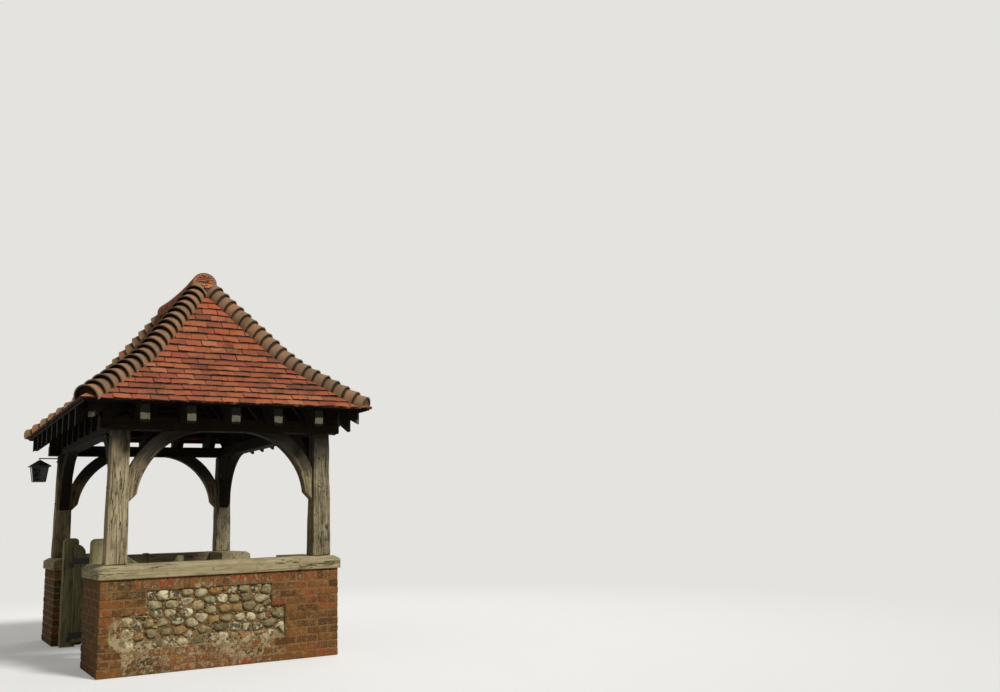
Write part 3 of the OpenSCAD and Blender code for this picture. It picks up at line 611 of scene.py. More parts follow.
# %% A block with worn edges
def worn_block():
    """Three points for each corner of a block, drawn in from two of its faces, and the faces between."""
    corner = np.array([(x, y, z) for x in (-1, 1) for y in (-1, 1) for z in (-1, 1)])
    signs, drawn = np.repeat(corner, 3, axis=0), np.tile(1 - np.eye(3), (8, 1))
    quads, tris = [], np.arange(24).reshape(8, 3).tolist()
    for a in range(3):
        b, c = (a + 1) % 3, (a + 2) % 3

        def at(*wanted):
            return int(np.flatnonzero((corner[:, [a, b, c]] == wanted).all(1))[0])
        for s in (-1, 1):
            quads.append([3 * at(s, *bc) + a for bc in ((-1, -1), (1, -1), (1, 1), (-1, 1))])
            for t in (-1, 1):
                p, q = at(s, t, -1), at(s, t, 1)
                quads.append([3 * p + a, 3 * q + a, 3 * q + b, 3 * p + b])
    shape = signs - 0.2 * signs * drawn
    facing = [[f if np.cross(shape[f[1]] - shape[f[0]], shape[f[2]] - shape[f[0]]) @ shape[f].mean(0) > 0
               else f[::-1] for f in group] for group in (quads, tris)]
    return signs, drawn, np.array(facing[0]), np.array(facing[1])


def blocks(middle, half, wear, tint, seed):
    """Many worn blocks at once: corner signs times each half size, drawn in by that block's wear."""
    signs, drawn, quads, tris = worn_block()
    local = signs * (half[:, None] - wear[:, None, None] * drawn)
    points = middle[:, None] + local
    points = points + 0.0012 * ripple(points, 0.05, seed)[..., None] * signs
    first = 24 * np.arange(len(middle))[:, None, None]
    grain = local + np.random.default_rng(seed).uniform(-3, 3, (len(middle), 1, 3))
    return part(points, [(first + quads).reshape(-1, 4), (first + tris).reshape(-1, 3)], grain, tint[:, None])


print("a block has", len(worn_block()[2]), "quads")

# %% Lay the bricks
# The flint panel runs from end to end up to the step, and draws in by its two steps above that
ROAD_END, YARD_END, LOWEST, STEP, TOP, ROAD_STEP, YARD_STEP = -0.96, 0.60, 0.226, 0.53, 0.757, 0.22, 0.14
WALL_END, JOINT, STRETCHER, ON_EDGE, COURSE, TOP_COURSE = 1.16, 0.01, 0.225, 0.075, 0.076, 10


def cut_run(length, near, far):
    """Ends of the bricks in one course: whole ones, and one cut brick in the middle if needed."""
    room = length - near - far + JOINT
    count = int(room / STRETCHER)
    rest = room - STRETCHER * count
    sizes = [STRETCHER] * count
    if rest > 0.05:
        sizes.insert(count // 2, rest)
    sizes = np.array(sizes) * room / sum(sizes)
    ends = near + np.cumsum(sizes)
    return np.stack([ends - sizes, ends - JOINT], -1)


def clear_panel(cuts, middle):
    """The bricks of one course of the outer face, without the flint panel's width."""
    high = middle > STEP
    low = ROAD_END + ROAD_STEP * high + WALL_END - JOINT
    top = YARD_END - YARD_STEP * high + WALL_END + JOINT
    left, past = cuts.copy(), cuts.copy()
    left[:, 1], past[:, 0] = np.minimum(cuts[:, 1], low), np.maximum(cuts[:, 0], top)
    cuts = np.concatenate([left, past])
    return cuts[cuts[:, 1] - cuts[:, 0] > 0.03]


def lay_wall(seed):
    """Every brick of the right wall."""
    draw = np.random.default_rng(seed)
    # Start, direction and outward normal of each face, its length, and whether each end is an outer corner
    runs = [((2.0, -1.16), (0, 1), (1, 0), 2.32, 0, 0), ((1.08, -1.16), (1, 0), (0, -1), 0.92, 1, 1),
            ((1.08, 1.16), (1, 0), (0, 1), 0.92, 1, 1), ((1.08, -1.16), (0, 1), (-1, 0), 0.33, 0, 0),
            ((1.08, 0.83), (0, 1), (-1, 0), 0.33, 0, 0), ((1.08, -0.83), (1, 0), (0, 1), 0.59, 1, None),
            ((1.08, 0.83), (1, 0), (0, -1), 0.59, 1, None),
            ((1.67, -0.83), (0, 1), (-1, 0), 1.66, None, None)]
    laid = []
    for face, (start, way, out, length, near, far) in enumerate(runs):
        start, way, out = (np.array(v, float) for v in (start, way, out))
        for course in range(TOP_COURSE + 1):
            top = course == TOP_COURSE
            z0, z1 = (0.768, 0.868) if top else (COURSE * course + 0.004, COURSE * course + 0.071)
            gaps = [0.0 if e is None or (course + e) % 2 == 0 else STRETCHER / 2 for e in (near, far)]
            cuts = cut_run(length, *gaps)
            if top:
                room = length - sum(gaps) + JOINT
                ends = gaps[0] + np.linspace(0, room, round(room / ON_EDGE) + 1)
                cuts = np.stack([ends[:-1], ends[1:] - JOINT], -1)
            if face == 0 and LOWEST < (z0 + z1) / 2 < TOP:
                cuts = clear_panel(cuts, (z0 + z1) / 2)
            n = len(cuts)
            centre, half = cuts.mean(1), (cuts[:, 1] - cuts[:, 0]) / 2 + draw.uniform(-0.002, 0.001, n)
            back = 0.052 + draw.uniform(0.0, 0.003, n)
            flat = start + way * (centre + draw.uniform(-0.0015, 0.0015, n))[:, None] - out * back[:, None]
            lift = (z0 + z1) / 2 + draw.uniform(-0.0015, 0.0015, n)
            size = np.abs(way) * half[:, None] + np.abs(out) * 0.051
            tall = np.full(n, (z1 - z0) / 2) + draw.uniform(-0.002, 0.0005, n)
            tint = draw.random((n, 3))
            tint[:, 0] = 0.25 + 0.75 * tint[:, 0] if top else 0.86 * tint[:, 0]
            # The third number is how much lime has run over the brick, most of it low under the outer panel
            tint[:, 2] *= 0.2
            if face == 0:
                y = start[1] + centre
                tint[:, 2] += 0.65 * smooth(z0, 0.32, 0.20) * smooth(y, -1.1, -0.8) * smooth(y, 0.7, 0.3)
                tint[:, 2] += 0.25 * top
            laid.append(np.column_stack([flat, lift, size, tall, tint]))
    laid = np.concatenate(laid)
    return blocks(laid[:, :3], laid[:, 3:6], draw.uniform(0.003, 0.0075, len(laid)), laid[:, 6:], seed)


bricks = {"right": lay_wall(51), "left": lay_wall(52)}
print("bricks in the right wall:", len(bricks["right"][0]) // 24)

# %% [markdown]
# The mortar is one body that shows between the bricks and the flints: the wall's own outline, kept 5 mm
# back. On the outer face it is a height field, level with the joints where bricks lie on it, sunk and lumpy
# behind the flints, and here and there smeared over the bricks' edges, as old pointing is.

# %% Make the mortar
def inside_panel(y, z):
    """Distance in from the panel's edge, negative outside it: the larger of two rectangles' distances."""
    def box(y0, y1, z0, z1):
        return np.minimum(np.minimum(y - y0, y1 - y), np.minimum(z - z0, z1 - z))
    return np.maximum(box(ROAD_END, YARD_END, LOWEST, STEP + 0.01),
                      box(ROAD_END + ROAD_STEP, YARD_END - YARD_STEP, STEP - 0.01, TOP))


def mortar_parts(seed):
    """The wall's body, and the height field on its outer face with its border folded back."""
    outline = np.array([(1.96, -1.1545), (1.96, 1.1545), (1.0855, 1.1545), (1.0855, 0.8355), (1.6755, 0.8355),
                        (1.6755, -0.8355), (1.0855, -0.8355), (1.0855, -1.1545)])
    rings = np.stack([np.column_stack([outline, np.full(8, z)]) for z in (0.0, 0.3, 0.6, 0.869)])
    y, z = np.linspace(-1.1548, 1.1548, 330), np.linspace(0.0, 0.869, 125)
    z, y = np.meshgrid(np.pad(z, 1, "edge"), np.pad(y, 1, "edge"), indexing="ij")
    flat = np.stack([0 * y, y, z], -1)
    deep = inside_panel(y, z)
    lumps, fine, crumb = (ripple(flat, size, seed + i) for i, size in enumerate((0.16, 0.035, 0.018)))
    # Behind the flints the field sinks by 28 mm, less where the mortar has buried them
    buried = np.maximum(smooth(z, 0.36, 0.25), 0.9 * smooth(y, -0.72, -0.90) * smooth(z, 0.56, 0.46))
    sunk = smooth(deep, -0.004, 0.014) * (0.028 - 0.009 * buried - 0.005 * fine - 0.004 * lumps)
    x = 1.9945 + 0.0006 * fine - sunk
    # It is smeared round the panel's edge, low on the wall, and thickly at the panel's lower road corner
    reach = smooth(deep, -0.12, -0.02) * (1 - smooth(deep, 0.0, 0.05))
    low_down = smooth(z, 0.03, 0.10) * smooth(z, 0.33, 0.24) * smooth(y, -1.12, -0.9) * smooth(y, 0.75, 0.35)
    corner = smooth(np.hypot((y + 0.97) / 0.16, (z - 0.36) / 0.20), 1.0, 0.5)
    smear = smooth(lumps + 0.5 * fine + 0.6 * crumb + 0.6 * corner + 0.55 * low_down, 0.3, 0.7)
    smear = smear * np.maximum(np.maximum(0.8 * reach, 0.9 * low_down), corner)
    x = x + smear * (1.9988 + 0.0014 * fine + 0.0008 * crumb - x)
    x[[0, -1]], x[:, [0, -1]] = 1.95, 1.95
    field = np.stack([x, y, z], -1).reshape(-1, 3)
    spilt = np.clip(smear + 0.5 * buried * (deep > 0), 0, 1).reshape(-1, 1) * (1, 1, 1)
    return [part(rings, ring_faces(1, 4, 8), tint=0.0),
            (field, ring_faces(1, *x.shape, tube=False), field, spilt)]


print("a spot in the panel is", round(float(inside_panel(-0.1, 0.4)), 3), "m in from its edge")

# %% [markdown]
# ## Flint
# Field flints are bedded in mortar with their long sides level, each chosen to fit its neighbours. So the
# panel is first shared out: stone middles are scattered and moved twice to the middle of their own share,
# and each stone reaches almost to the lines halfway to its neighbours. On that outline stands a dome,
# dented by ripples, and cut flat where the stone broke.

# %% Set the flints
SQUASH = 1.5


def share_out(seed):
    """Middles of the stones as (y, 1.5 z), and the panel's sample spots. Six rough courses are scattered,
    and each stone moves twice to the mean of the spots nearest to it."""
    draw = np.random.default_rng(seed)
    y, z = np.meshgrid(np.arange(ROAD_END, YARD_END, 0.007), np.arange(LOWEST, TOP, 0.007))
    keep = inside_panel(y, z) > 0.004
    spots = np.stack([y[keep], SQUASH * z[keep]], -1)
    z, y = np.meshgrid(LOWEST + 0.044 + 0.0885 * np.arange(6), ROAD_END + 0.03 + 0.122 * np.arange(13),
                       indexing="ij")
    y = y + draw.uniform(-0.050, 0.050, y.shape) + draw.uniform(-0.03, 0.05, (6, 1))
    z = z + draw.uniform(-0.030, 0.030, z.shape)
    keep = inside_panel(y, z) > 0.012
    middles = np.stack([y[keep], SQUASH * z[keep]], -1)
    count = len(middles)
    for step in range(2):
        owner = ((spots[:, None] - middles) ** 2).sum(-1).argmin(1)
        held = np.maximum(np.bincount(owner, minlength=count), 1)
        middles = np.stack([np.bincount(owner, spots[:, a], count) / held for a in (0, 1)], -1)
    return middles, spots


def stone_reach(own, way, middles):
    """How far a stone reaches along unit directions: a soft smallest of the distances d to the lines
    halfway to its neighbours and to the panel's edges, the sum of 1 / d to the 5, to the -1 / 5."""
    gap = middles - own[:, None]
    half = np.maximum((gap ** 2).sum(-1) / 2, 1e-6)[:, None]
    near = np.maximum(np.einsum("npk,nmk->npm", way, gap), 1e-6) / half
    y, z = own.T
    high = z / SQUASH > STEP
    inner = (y > ROAD_END + ROAD_STEP) & (y < YARD_END - YARD_STEP)
    roof = SQUASH * np.where(inner, TOP, STEP)
    walls = np.stack([y - ROAD_END - ROAD_STEP * high, YARD_END - YARD_STEP * high - y,
                      z - SQUASH * LOWEST, roof - z], -1)
    facing = np.stack([-way[..., 0], way[..., 0], -way[..., 1], way[..., 1]], -1)
    edge = np.maximum(facing, 1e-6) / np.maximum(walls, 0.004)[:, None]
    return ((near ** 5).sum(-1) + (edge ** 5).sum(-1)) ** (-1 / 5)


def stones(middle, outline, deep, rings, seed, broken=0.0):
    """Domes on given outlines: with a the angle from straight out, the outline shrinks as sin(a) to the
    0.75 and the depth follows cos(a) to the 0.8. A share `broken` is cut off by a tilted plane."""
    draw = np.random.default_rng(seed)
    a = np.linspace(0.16, 2.0, rings)[None, :, None]
    n, points = outline.shape[:2]
    deep = deep[:, None, None]
    flat = outline[:, None] * (np.sin(a) ** 0.75)[..., None]
    x = deep * np.sign(np.cos(a)) * np.abs(np.cos(a)) ** 0.8 + np.zeros((n, rings, points))
    shape = np.concatenate([x[..., None], flat], -1)
    odd = draw.uniform(-50, 50, (n, 1, 1, 3))
    within = shape / np.abs(outline).max((1, 2))[:, None, None, None] + odd
    rough = draw.uniform(0.6, 1.8, (n, 1, 1))
    dent = 1 + rough * (0.10 * ripple(within, 1.1, seed) + 0.07 * ripple(within, 0.5, seed + 1))
    shape = shape * dent[..., None]
    tilt = draw.normal(0, 0.30, (n, 2))
    plane = deep * draw.uniform(0.55, 0.9, (n, 1, 1)) + np.einsum("nrpk,nk->nrp", shape[..., 1:], tilt)
    cut = (draw.random(n) < broken)[:, None, None] & (shape[..., 0] > plane)
    shape[..., 0] = np.where(cut, plane, shape[..., 0])
    tint = np.broadcast_to(draw.random((n, 1, 1, 3)), shape.shape).copy()
    tint[..., 2] = cut
    return part(middle[:, None, None] + shape, ring_faces(n, rings, points), shape + odd, tint)


def set_flints(seed):
    """The stones of one panel, then chips pressed into the mortar in the corners between them."""
    draw = np.random.default_rng(seed)
    middles, spots = share_out(seed)
    count = len(middles)
    way = circle(16) * np.ones((count, 1, 1))
    reach = stone_reach(middles, way, middles)
    outline = way * ((reach - 0.003) * draw.uniform(0.84, 1.0, (count, 1)))[..., None] * (1, 1 / SQUASH)
    place = np.column_stack([draw.uniform(1.960, 1.965, count), middles[:, 0], middles[:, 1] / SQUASH])
    big = stones(place, outline, draw.uniform(0.028, 0.037, count), 10, seed, 0.5)
    spots = draw.permutation(spots)[:900]
    gap = spots[:, None] - middles
    owner = (gap ** 2).sum(-1).argmin(1)
    gap = gap[np.arange(len(spots)), owner]
    far = np.linalg.norm(gap, axis=1)
    past = far / stone_reach(middles[owner], (gap / far[:, None])[:, None], middles)[:, 0]
    spots = spots[past > 0.98][:170]
    chip = circle(8) * (1, 0.6) * draw.uniform(0.006, 0.015, (len(spots), 1, 1))
    place = np.column_stack([np.full(len(spots), 1.968), spots[:, 0], spots[:, 1] / SQUASH])
    print("flints:", count, "chips:", len(spots))
    return [big, stones(place, chip, draw.uniform(0.010, 0.020, len(spots)), 5, seed + 5)]


flints = {"right": set_flints(61), "left": set_flints(62)}

# %% [markdown]
# Bricks fired in a clamp come out anything from orange to plum. Most here have weathered to brown, and lime
# has run down from the panel and dried pale on those below. Each brick's tint picks its colour, and finer
# noise gives it creases, pits and grime.

# %% Brick, mortar and flint materials
begin("brick")
grain, one, two, three = marks()
place = here()
body = ramp(one, (0.0, "#624125"), (0.25, "#7e522b"), (0.5, "#93602f"), (0.72, "#9c5a2f"), (0.9, "#a2532f"),
            (1.0, "#7e4326"))
creases = speckle(grain, 22, 4, 0.62, 0.4)
body = coat(body, "#543a22", creases, 0.45, 0.68, 0.6)
body = coat(body, "#a8804a", speckle(grain, 55, 3), 0.5, 0.68, 0.55)
grime = times(band(speckle(place, 260, 4, 0.6), 0.44, 0.64), band(two, 0.15, 0.7))
body = blend(times(grime, 0.75), body, "#4f4229")
# Lime runs: the more of it a brick has, the lower the noise has to rise to show it
bloom = calc("ADD", speckle(place, 38, 5, 0.72), times(three, 0.17))
body = coat(body, "#ad9c76", bloom, 0.60, 0.72, 0.8)
spots = times(band(speckle(place, 15, 3, 0.6), 0.645, 0.68), band(speckle(place, 260, 2), 0.44, 0.56))
body = blend(times(spots, 0.85), body, "#d0c5a4")
# Painted shade: the face to the road is darkened to a dull olive brown, as it stands in shade
body = coat(body, "#4a4328", pick(place, "Y"), -1.150, -1.156, 0.45)
pits = band(speckle(grain, 7, 2), 0.36, 0.3)
body = blend(times(pits, 0.6), body, "#3f2b1e")
matt(body, 0.93, calc("SUBTRACT", creases, times(pits, 0.5)), 3.0, 0.2)

begin("lime_mortar")
place = here()
sand = speckle(place, 6, 5, 0.75)
joint = ramp(sand, (0.3, "#60472b"), (0.5, "#8e6d44"), (0.68, "#ae8e60"))
joint = coat(joint, "#5c462b", speckle(place, 120, 4, 0.6), 0.46, 0.62, 0.6)
crust = ramp(sand, (0.3, "#7d6746"), (0.5, "#bda67c"), (0.68, "#e6d6ad"))
crust = coat(crust, "#7d6744", speckle(place, 45, 4, 0.65), 0.46, 0.6, 0.75)
body = blend(pick(carried("tint"), "X"), joint, crust)
body = blend(band(speckle(place, 15, 4, 0.7), 0.64, 0.7), body, "#cdc2a0")
matt(body, 0.95, calc("ADD", sand, speckle(place, 22, 3)), 3.0, 0.2)

begin("flint")
grain, one, two, three = marks()
rind = ramp(one, (0.0, "#665c3d"), (0.14, "#a08f62"), (0.3, "#e9dcb2"), (0.44, "#94865f"), (0.58, "#dccb99"),
            (0.7, "#a3824c"), (0.76, "#b67d3d"), (0.82, "#a89262"), (0.9, "#efe2b6"), (1.0, "#565038"))
rind = coat(rind, "#5c4e2e", speckle(grain, 40, 3, 0.6), 0.44, 0.62, 0.6)
rind = coat(rind, "#f0e6c6", speckle(grain, 17, 3, 0.6), 0.60, 0.66, 0.7)
# Broken faces are grey-brown glassy stone, with a milky skin in places
glassy = blend(band(speckle(grain, 18, 3), 0.4, 0.6), "#2c2618", "#6b5f43")
glassy = blend(band(speckle(grain, 45, 3, 0.6), 0.50, 0.58), glassy, "#c9ba90")
broken = times(three, band(two, 0.25, 0.35))
body = coat(blend(broken, rind, glassy), "#8f7a4e", speckle(here(), 45, 4, 0.7), 0.52, 0.66, 0.5)
gloss = add("MapRange", Value=broken, To_Min=0.85, To_Max=0.6)
matt(body, gloss, speckle(grain, 14, 4, 0.65), 4.0, 0.3)
print("materials so far:", len(made))

# %% Stand the walls
for name, x in SIDES:
    piece(name + "_brickwork", mirrored([bricks[name]], x), "brick", name + "_wall")
    piece(name + "_mortar", mirrored(mortar_parts(71 + x), x), "lime_mortar", name + "_wall")
    piece(name + "_flintwork", mirrored(flints[name], x), "flint", name + "_flint_panel", crease=42)

# %% [markdown]
# ## The roof line
# The roof is steep at 52.5 degrees and kicks out to 39 over the eaves, so that rain is thrown clear. Every
# tile is placed by its distance down the slope from the ridge line. The section turns that, and a lift off
# the boards, into a run out from the middle and a height.

# %% The roof section as a function
STEEP, GENTLE, BEND = np.radians(52.5), np.radians(39.0), 1.5
PEAK, BEND_FROM, BEND_TO, SLOPE = 4.03876, 1.10375, 1.45718, 2.10961
RIDGE, GAUGE, COURSES = 0.82, 0.104, 19


def roof_line(s, lift=0.0):
    """Run and height at slope distance s: straight, a bend of 1.5 m radius, straight. The lift is square to
    the slope."""
    s = np.asarray(s, float)
    angle = STEEP - np.clip(s - BEND_FROM, 0, BEND_TO - BEND_FROM) / BEND
    first, last = np.minimum(s, BEND_FROM), np.maximum(s - BEND_TO, 0)
    run = first * np.cos(STEEP) + BEND * (np.sin(STEEP) - np.sin(angle)) + last * np.cos(GENTLE)
    high = PEAK - first * np.sin(STEEP) - BEND * (np.cos(angle) - np.cos(STEEP)) - last * np.sin(GENTLE)
    return run + lift * np.sin(angle), high + lift * np.cos(angle)


def tail(k):
    """Slope distance of the tail of course k. Course 0 is just under the ridge."""
    return SLOPE - (COURSES - np.asarray(k, float)) * GAUGE


print("eaves at run and height", [round(float(v), 3) for v in roof_line(SLOPE)])

# %% [markdown]
# ## Plain tiles
# Hand-made plain tiles are 165 mm wide and hang on battens 104 mm apart, so that three lie on each other
# anywhere. None is flat, and they sit a little up, down or askew, which gives an old roof its broken shadow
# lines. A tile is a thin cambered slab on a grid of 5 by 4 points, and all tiles of a slope are made at
# once. At the hip, their points are held back to the hip line.

# %% Lay the plain tiles
PITCH, THICK, EAVES_TILE, FULL_TILE = 0.168, 0.0115, 0.150, 0.226


def slab_faces(shapes, rows, columns):
    """Faces of many thin slabs: an upper and an under sheet on one grid of points, and the four rims."""
    cell = np.arange(rows * columns * 2).reshape(rows, columns, 2)
    quads = []
    for sheet, step in ((cell[..., 0], 1), (cell[..., 1], -1)):
        q = np.stack([sheet[:-1, :-1], sheet[1:, :-1], sheet[1:, 1:], sheet[:-1, 1:]], -1)
        quads.append(q.reshape(-1, 4)[:, ::step])
    for rim, step in ((cell[0], -1), (cell[-1], 1), (cell[:, 0], 1), (cell[:, -1], -1)):
        quads.append(np.stack([rim[:-1, 0], rim[:-1, 1], rim[1:, 1], rim[1:, 0]], -1)[:, ::step])
    return [(cell.size * np.arange(shapes)[:, None, None] + np.concatenate(quads)).reshape(-1, 4)]


def lay_tiles(half_ridge, seed):
    """The slope that faces -Y, with `half_ridge` metres of ridge to each side. Its last course is the short
    one under the eaves."""
    draw = np.random.default_rng(seed)
    centres, courses = [], []
    for k in range(COURSES + 2):
        edge = half_ridge + roof_line(tail(min(k, COURSES)))[0]
        count = int(edge / PITCH) + 2
        x = (np.arange(-count, count + 1) + 0.5 * (k % 2)) * PITCH + draw.uniform(-0.02, 0.02)
        x = x[np.abs(x) < edge + 0.055]
        centres.append(x)
        courses.append(np.full(len(x), k))
    x, k = (np.concatenate(v)[:, None, None, None] for v in (centres, courses))
    n = len(x)
    down = np.array([0.0, 0.018, 0.075, 0.16, 1.0])[None, :, None, None]
    down = np.where(down < 1, down, np.where(k > COURSES, EAVES_TILE, FULL_TILE)) * np.ones((n, 5, 4, 2))
    side = np.linspace(-1, 1, 4)[None, None, :, None] * np.ones_like(down)
    top = np.array([1.0, 0.0]) * np.ones_like(down)
    one = lambda low, high: draw.uniform(low, high, n)[:, None, None, None]
    wander = 0.005 * ripple(np.stack([x, 0.37 * k, 0 * x + seed], -1), 1.1, seed)
    s = tail(np.minimum(k, COURSES)) - down + one(-0.005, 0.0035) + side * one(-0.0048, 0.0048)
    s = np.maximum(s + (k < COURSES) * wander, 0.012)
    lift = np.where(k > COURSES, 0.0235, 0.0355) - 0.115 * down
    lift = np.maximum(lift, 0.0125) - THICK * (1 - top)
    free = 1 - np.clip(down / 0.11, 0, 1)
    lift = lift + free * (one(-0.003, 0.0032) + side * one(-0.003, 0.003))
    lift = lift - one(0.0, 0.0045) * side ** 2 * free - np.where(down == 0, 0.0022 * top, 0)
    across = x + side * (0.0826 + one(-0.0024, 0.0008)) + down * one(-0.030, 0.030)
    run, high = roof_line(s, lift)
    edge = half_ridge + run - 0.004
    across = np.clip(across, -edge, edge)
    keep = across.max((1, 2, 3)) - across.min((1, 2, 3)) > 0.03
    points = np.stack([across, -run, high], -1)[keep]
    local = np.stack([side * 0.08, down, 0 * lift], -1)[keep]
    tint = draw.random((n, 3))[keep]
    tint[:, 2] = k[keep].ravel() / COURSES
    return part(points, slab_faces(len(points), 5, 4), local, tint[:, None, None, None])


def turned(slope, side):
    """A slope turned to face +X or -X: (x, y) becomes (-y, x), moved out to the end of the ridge."""
    points, *rest = slope
    points = np.column_stack([-points[:, 1] + RIDGE, points[:, 0], points[:, 2]])
    return mirrored([(points, *rest)], side)[0]


slopes = {"front": lay_tiles(RIDGE, 81), "rear": mirrored([lay_tiles(RIDGE, 82)], 1, -1)[0],
          "right": turned(lay_tiles(0.0, 83), 1), "left": turned(lay_tiles(0.0, 84), -1)}
print("tiles laid:", {name: len(p[0]) // 40 for name, p in slopes.items()})

# %% [markdown]
# ## Bonnet tiles
# The hips are covered by bonnets, flared half-round tiles bedded on mortar, one to each course. On the road
# side their tails are tipped well up, so every bonnet shows a pale rim over a dark hollow; the rim is also
# painted paler, partly as painted light, and the hollow and the mortar in it near black, as painted shade.
# On the yard side they lie close, with mortar nearly flush. A bonnet is an arc about an axis that sinks
# from tail to head, with a radius that shrinks the same way and lips out at the tail.

# %% Make the bonnets
def hip_frame(k):
    """Tail and head of bonnet k on the front right hip, unit vectors up the hip, across it and out of it,
    and how much the tiles fall away for each metre across it."""
    ends = []
    for s in (tail(k) + 0.045, np.where(k == 0, 0.030, tail(k - 1.0) + 0.045)):
        run, high = roof_line(s, 0.036)
        ends.append(np.stack([RIDGE + run, -run, high], -1))
    foot, head = ends
    way = unit(head - foot)
    across = np.broadcast_to(np.array([1.0, 1.0, 0]) / np.sqrt(2), way.shape)
    out = np.cross(across, way)
    pitch = np.arctan2(way[:, 2], np.hypot(way[:, 0], way[:, 1]) / np.sqrt(2))
    facing = np.stack([np.sin(pitch), 0 * pitch, np.cos(pitch)], -1)
    fall = (facing * across).sum(-1) / (facing * out).sum(-1)
    return foot, head, way, across, out, fall


def bonnet_rings(k, u, thick, close):
    """Radius and half angle at fractions u of the exposed length, the axis, and a function that places
    points. The arc stops where it meets the tiles: across is r sin(a), out is r cos(a) less the depth, and
    out is minus fall * across. `close` is 1 for tight bonnets, and 0 for ones with their tails up."""
    foot, head, way, across, out, fall = hip_frame(k)
    reach = np.linalg.norm(head - foot, axis=-1)[:, None]
    u = np.minimum(u[None], np.where(k == 0, 1.0, 9.0)[:, None])
    deep = 0.055 + (0.025 - 0.009 * close) * u
    radius = 0.1305 - 0.004 * close - (0.0205 - 0.008 * close) * u + 0.0038 * np.exp(-u / 0.06) - thick
    f, d = fall[:, None], deep
    root = np.sqrt(np.maximum(f * f * d * d - (1 + f * f) * (d * d - radius ** 2), 0))
    foot_out = (f * d + root) / (1 + f * f)
    angle = np.arctan2(foot_out, d - f * foot_out) + 0.06
    axis = unit(way * reach - 0.025 * out)
    centre = foot[:, None] + way[:, None] * (reach * u)[..., None] - out[:, None] * deep[..., None]
    upward = np.cross(across, axis)

    def arc(r, a, slide=0.0):
        return (centre[:, :, None] + axis[:, None, None] * np.asarray(slide)[..., None]
                + across[:, None, None] * (r * np.sin(a))[..., None]
                + upward[:, None, None] * (r * np.cos(a))[..., None])
    return radius[..., None], angle[..., None], axis, arc


def lay_bonnets(seed, back, close):
    """The bonnets of one hip, and the mortar in their mouths, set `back` by a share of their length."""
    draw = np.random.default_rng(seed)
    k = np.arange(float(COURSES))
    n = len(k)
    u = np.array([0.0, 0.03, 0.10, 0.3, 0.65, 1.0, 1.4])
    turn = np.linspace(-1, 1, 17)[None, None]
    one = lambda low, high: draw.uniform(low, high, n)[:, None, None]
    size, spin, slip = one(-0.003, 0.0), one(-0.02, 0.02), one(-0.004, 0.004)
    fade = np.exp(-u * 2)[None, :, None]
    skins = []
    for thick in (0.0, 0.0150):
        radius, angle, axis, arc = bonnet_rings(k, u, thick, close)
        slide = slip * fade + np.where((u == 0) & (thick == 0), 0.0015, 0.0)[None, :, None]
        flat = 1 - 0.012 * np.abs(turn) ** 3
        skins.append(arc((radius + size * fade) * flat, angle * turn + spin, slide))
    points = np.stack(skins, 3)
    local = np.stack(np.broadcast_arrays(turn * 0.13, u[None, :, None] * 0.12, 0 * size), -1)[:, :, :, None]
    local = local + np.array([[0, 0, 0], [0, 0, 0.0145]])
    tint = draw.random((n, 1, 1, 1, 3))
    tint[..., 0] **= 1 - 0.45 * close
    tint[..., 2] = k[:, None, None, None] / COURSES
    shells = part(points, slab_faces(n, *points.shape[1:3]), local, tint)
    # The mortar: a D-shaped bar with a rough face
    places = np.array([back, back + 0.06, 0.95])
    radius, angle, axis, arc = bonnet_rings(k, places, 0.0155, close)
    fill = arc(radius * np.array([0.9, 1.0, 1.0])[:, None], np.linspace(-1, 1, 13) * angle)
    rough = 0.006 * ripple(fill, 0.05, seed) * (places == back)[:, None]
    return shells, part(fill + rough[..., None] * axis[:, None, None], ring_faces(n, 3, 13))


bonnets, mouths = {}, {1: [], -1: []}
for i, (name, (x, y)) in enumerate(corners.items()):
    shells, fill = lay_bonnets(91 + i, *((0.30, 0) if y > 0 else (0.08, 1)))
    bonnets[name] = mirrored([shells], x, y)
    mouths[y] += mirrored([fill], x, y)
print("bonnets on each hip:", COURSES)

# %% [markdown]
# ## Ridge tiles
# Six half-round tiles ride along the ridge on mortar, a few millimetres apart, and the ridge has sunk by 32
# mm in the middle. At each end the hollow is stopped in the old way: five tile slips set in mortar, over an
# apron with four bits of broken tile. The tiles are arches with straight legs, and the slips are worn
# blocks whose widths follow the arch.

# %% Make the ridge
AXIS, SAG, HALF, LEGS = PEAK + 0.006, 0.032, 0.89, 0.036


def sagged(points):
    """The sunken ridge: z falls by SAG times 1 less (x / 0.89) squared."""
    return points - np.multiply.outer(SAG * np.maximum(1 - (points[..., 0] / HALF) ** 2, 0), (0, 0, 1.0))


def ridge_arc(outer, inner, legs):
    """An oval arch as one loop, over by the outside and back by the inside, with straight legs."""
    a = np.linspace(-np.pi / 2, np.pi / 2, 17)
    halves = []
    for radius in (outer, inner):
        y, z = 1.1 * radius * np.sin(a), radius * np.cos(a)
        halves.append(np.stack([np.pad(y, 1, "edge"), np.pad(z, 1, constant_values=-legs)], -1))
    return np.concatenate([halves[0], halves[1][::-1]])


def arch_faces(shapes, rings, m):
    """Faces of arches whose rings have m points, closed at both ends by strips from outside to inside."""
    first = rings * m * np.arange(shapes)[:, None, None]
    j = np.arange(m // 2 - 1)[None, :, None]
    near = first + np.concatenate([j, m - 1 - j, m - 2 - j, j + 1], -1)
    rims = np.concatenate([near, near[..., ::-1] + (rings - 1) * m]).reshape(-1, 4)
    return ring_faces(shapes, rings, m, ends=False) + [rims]


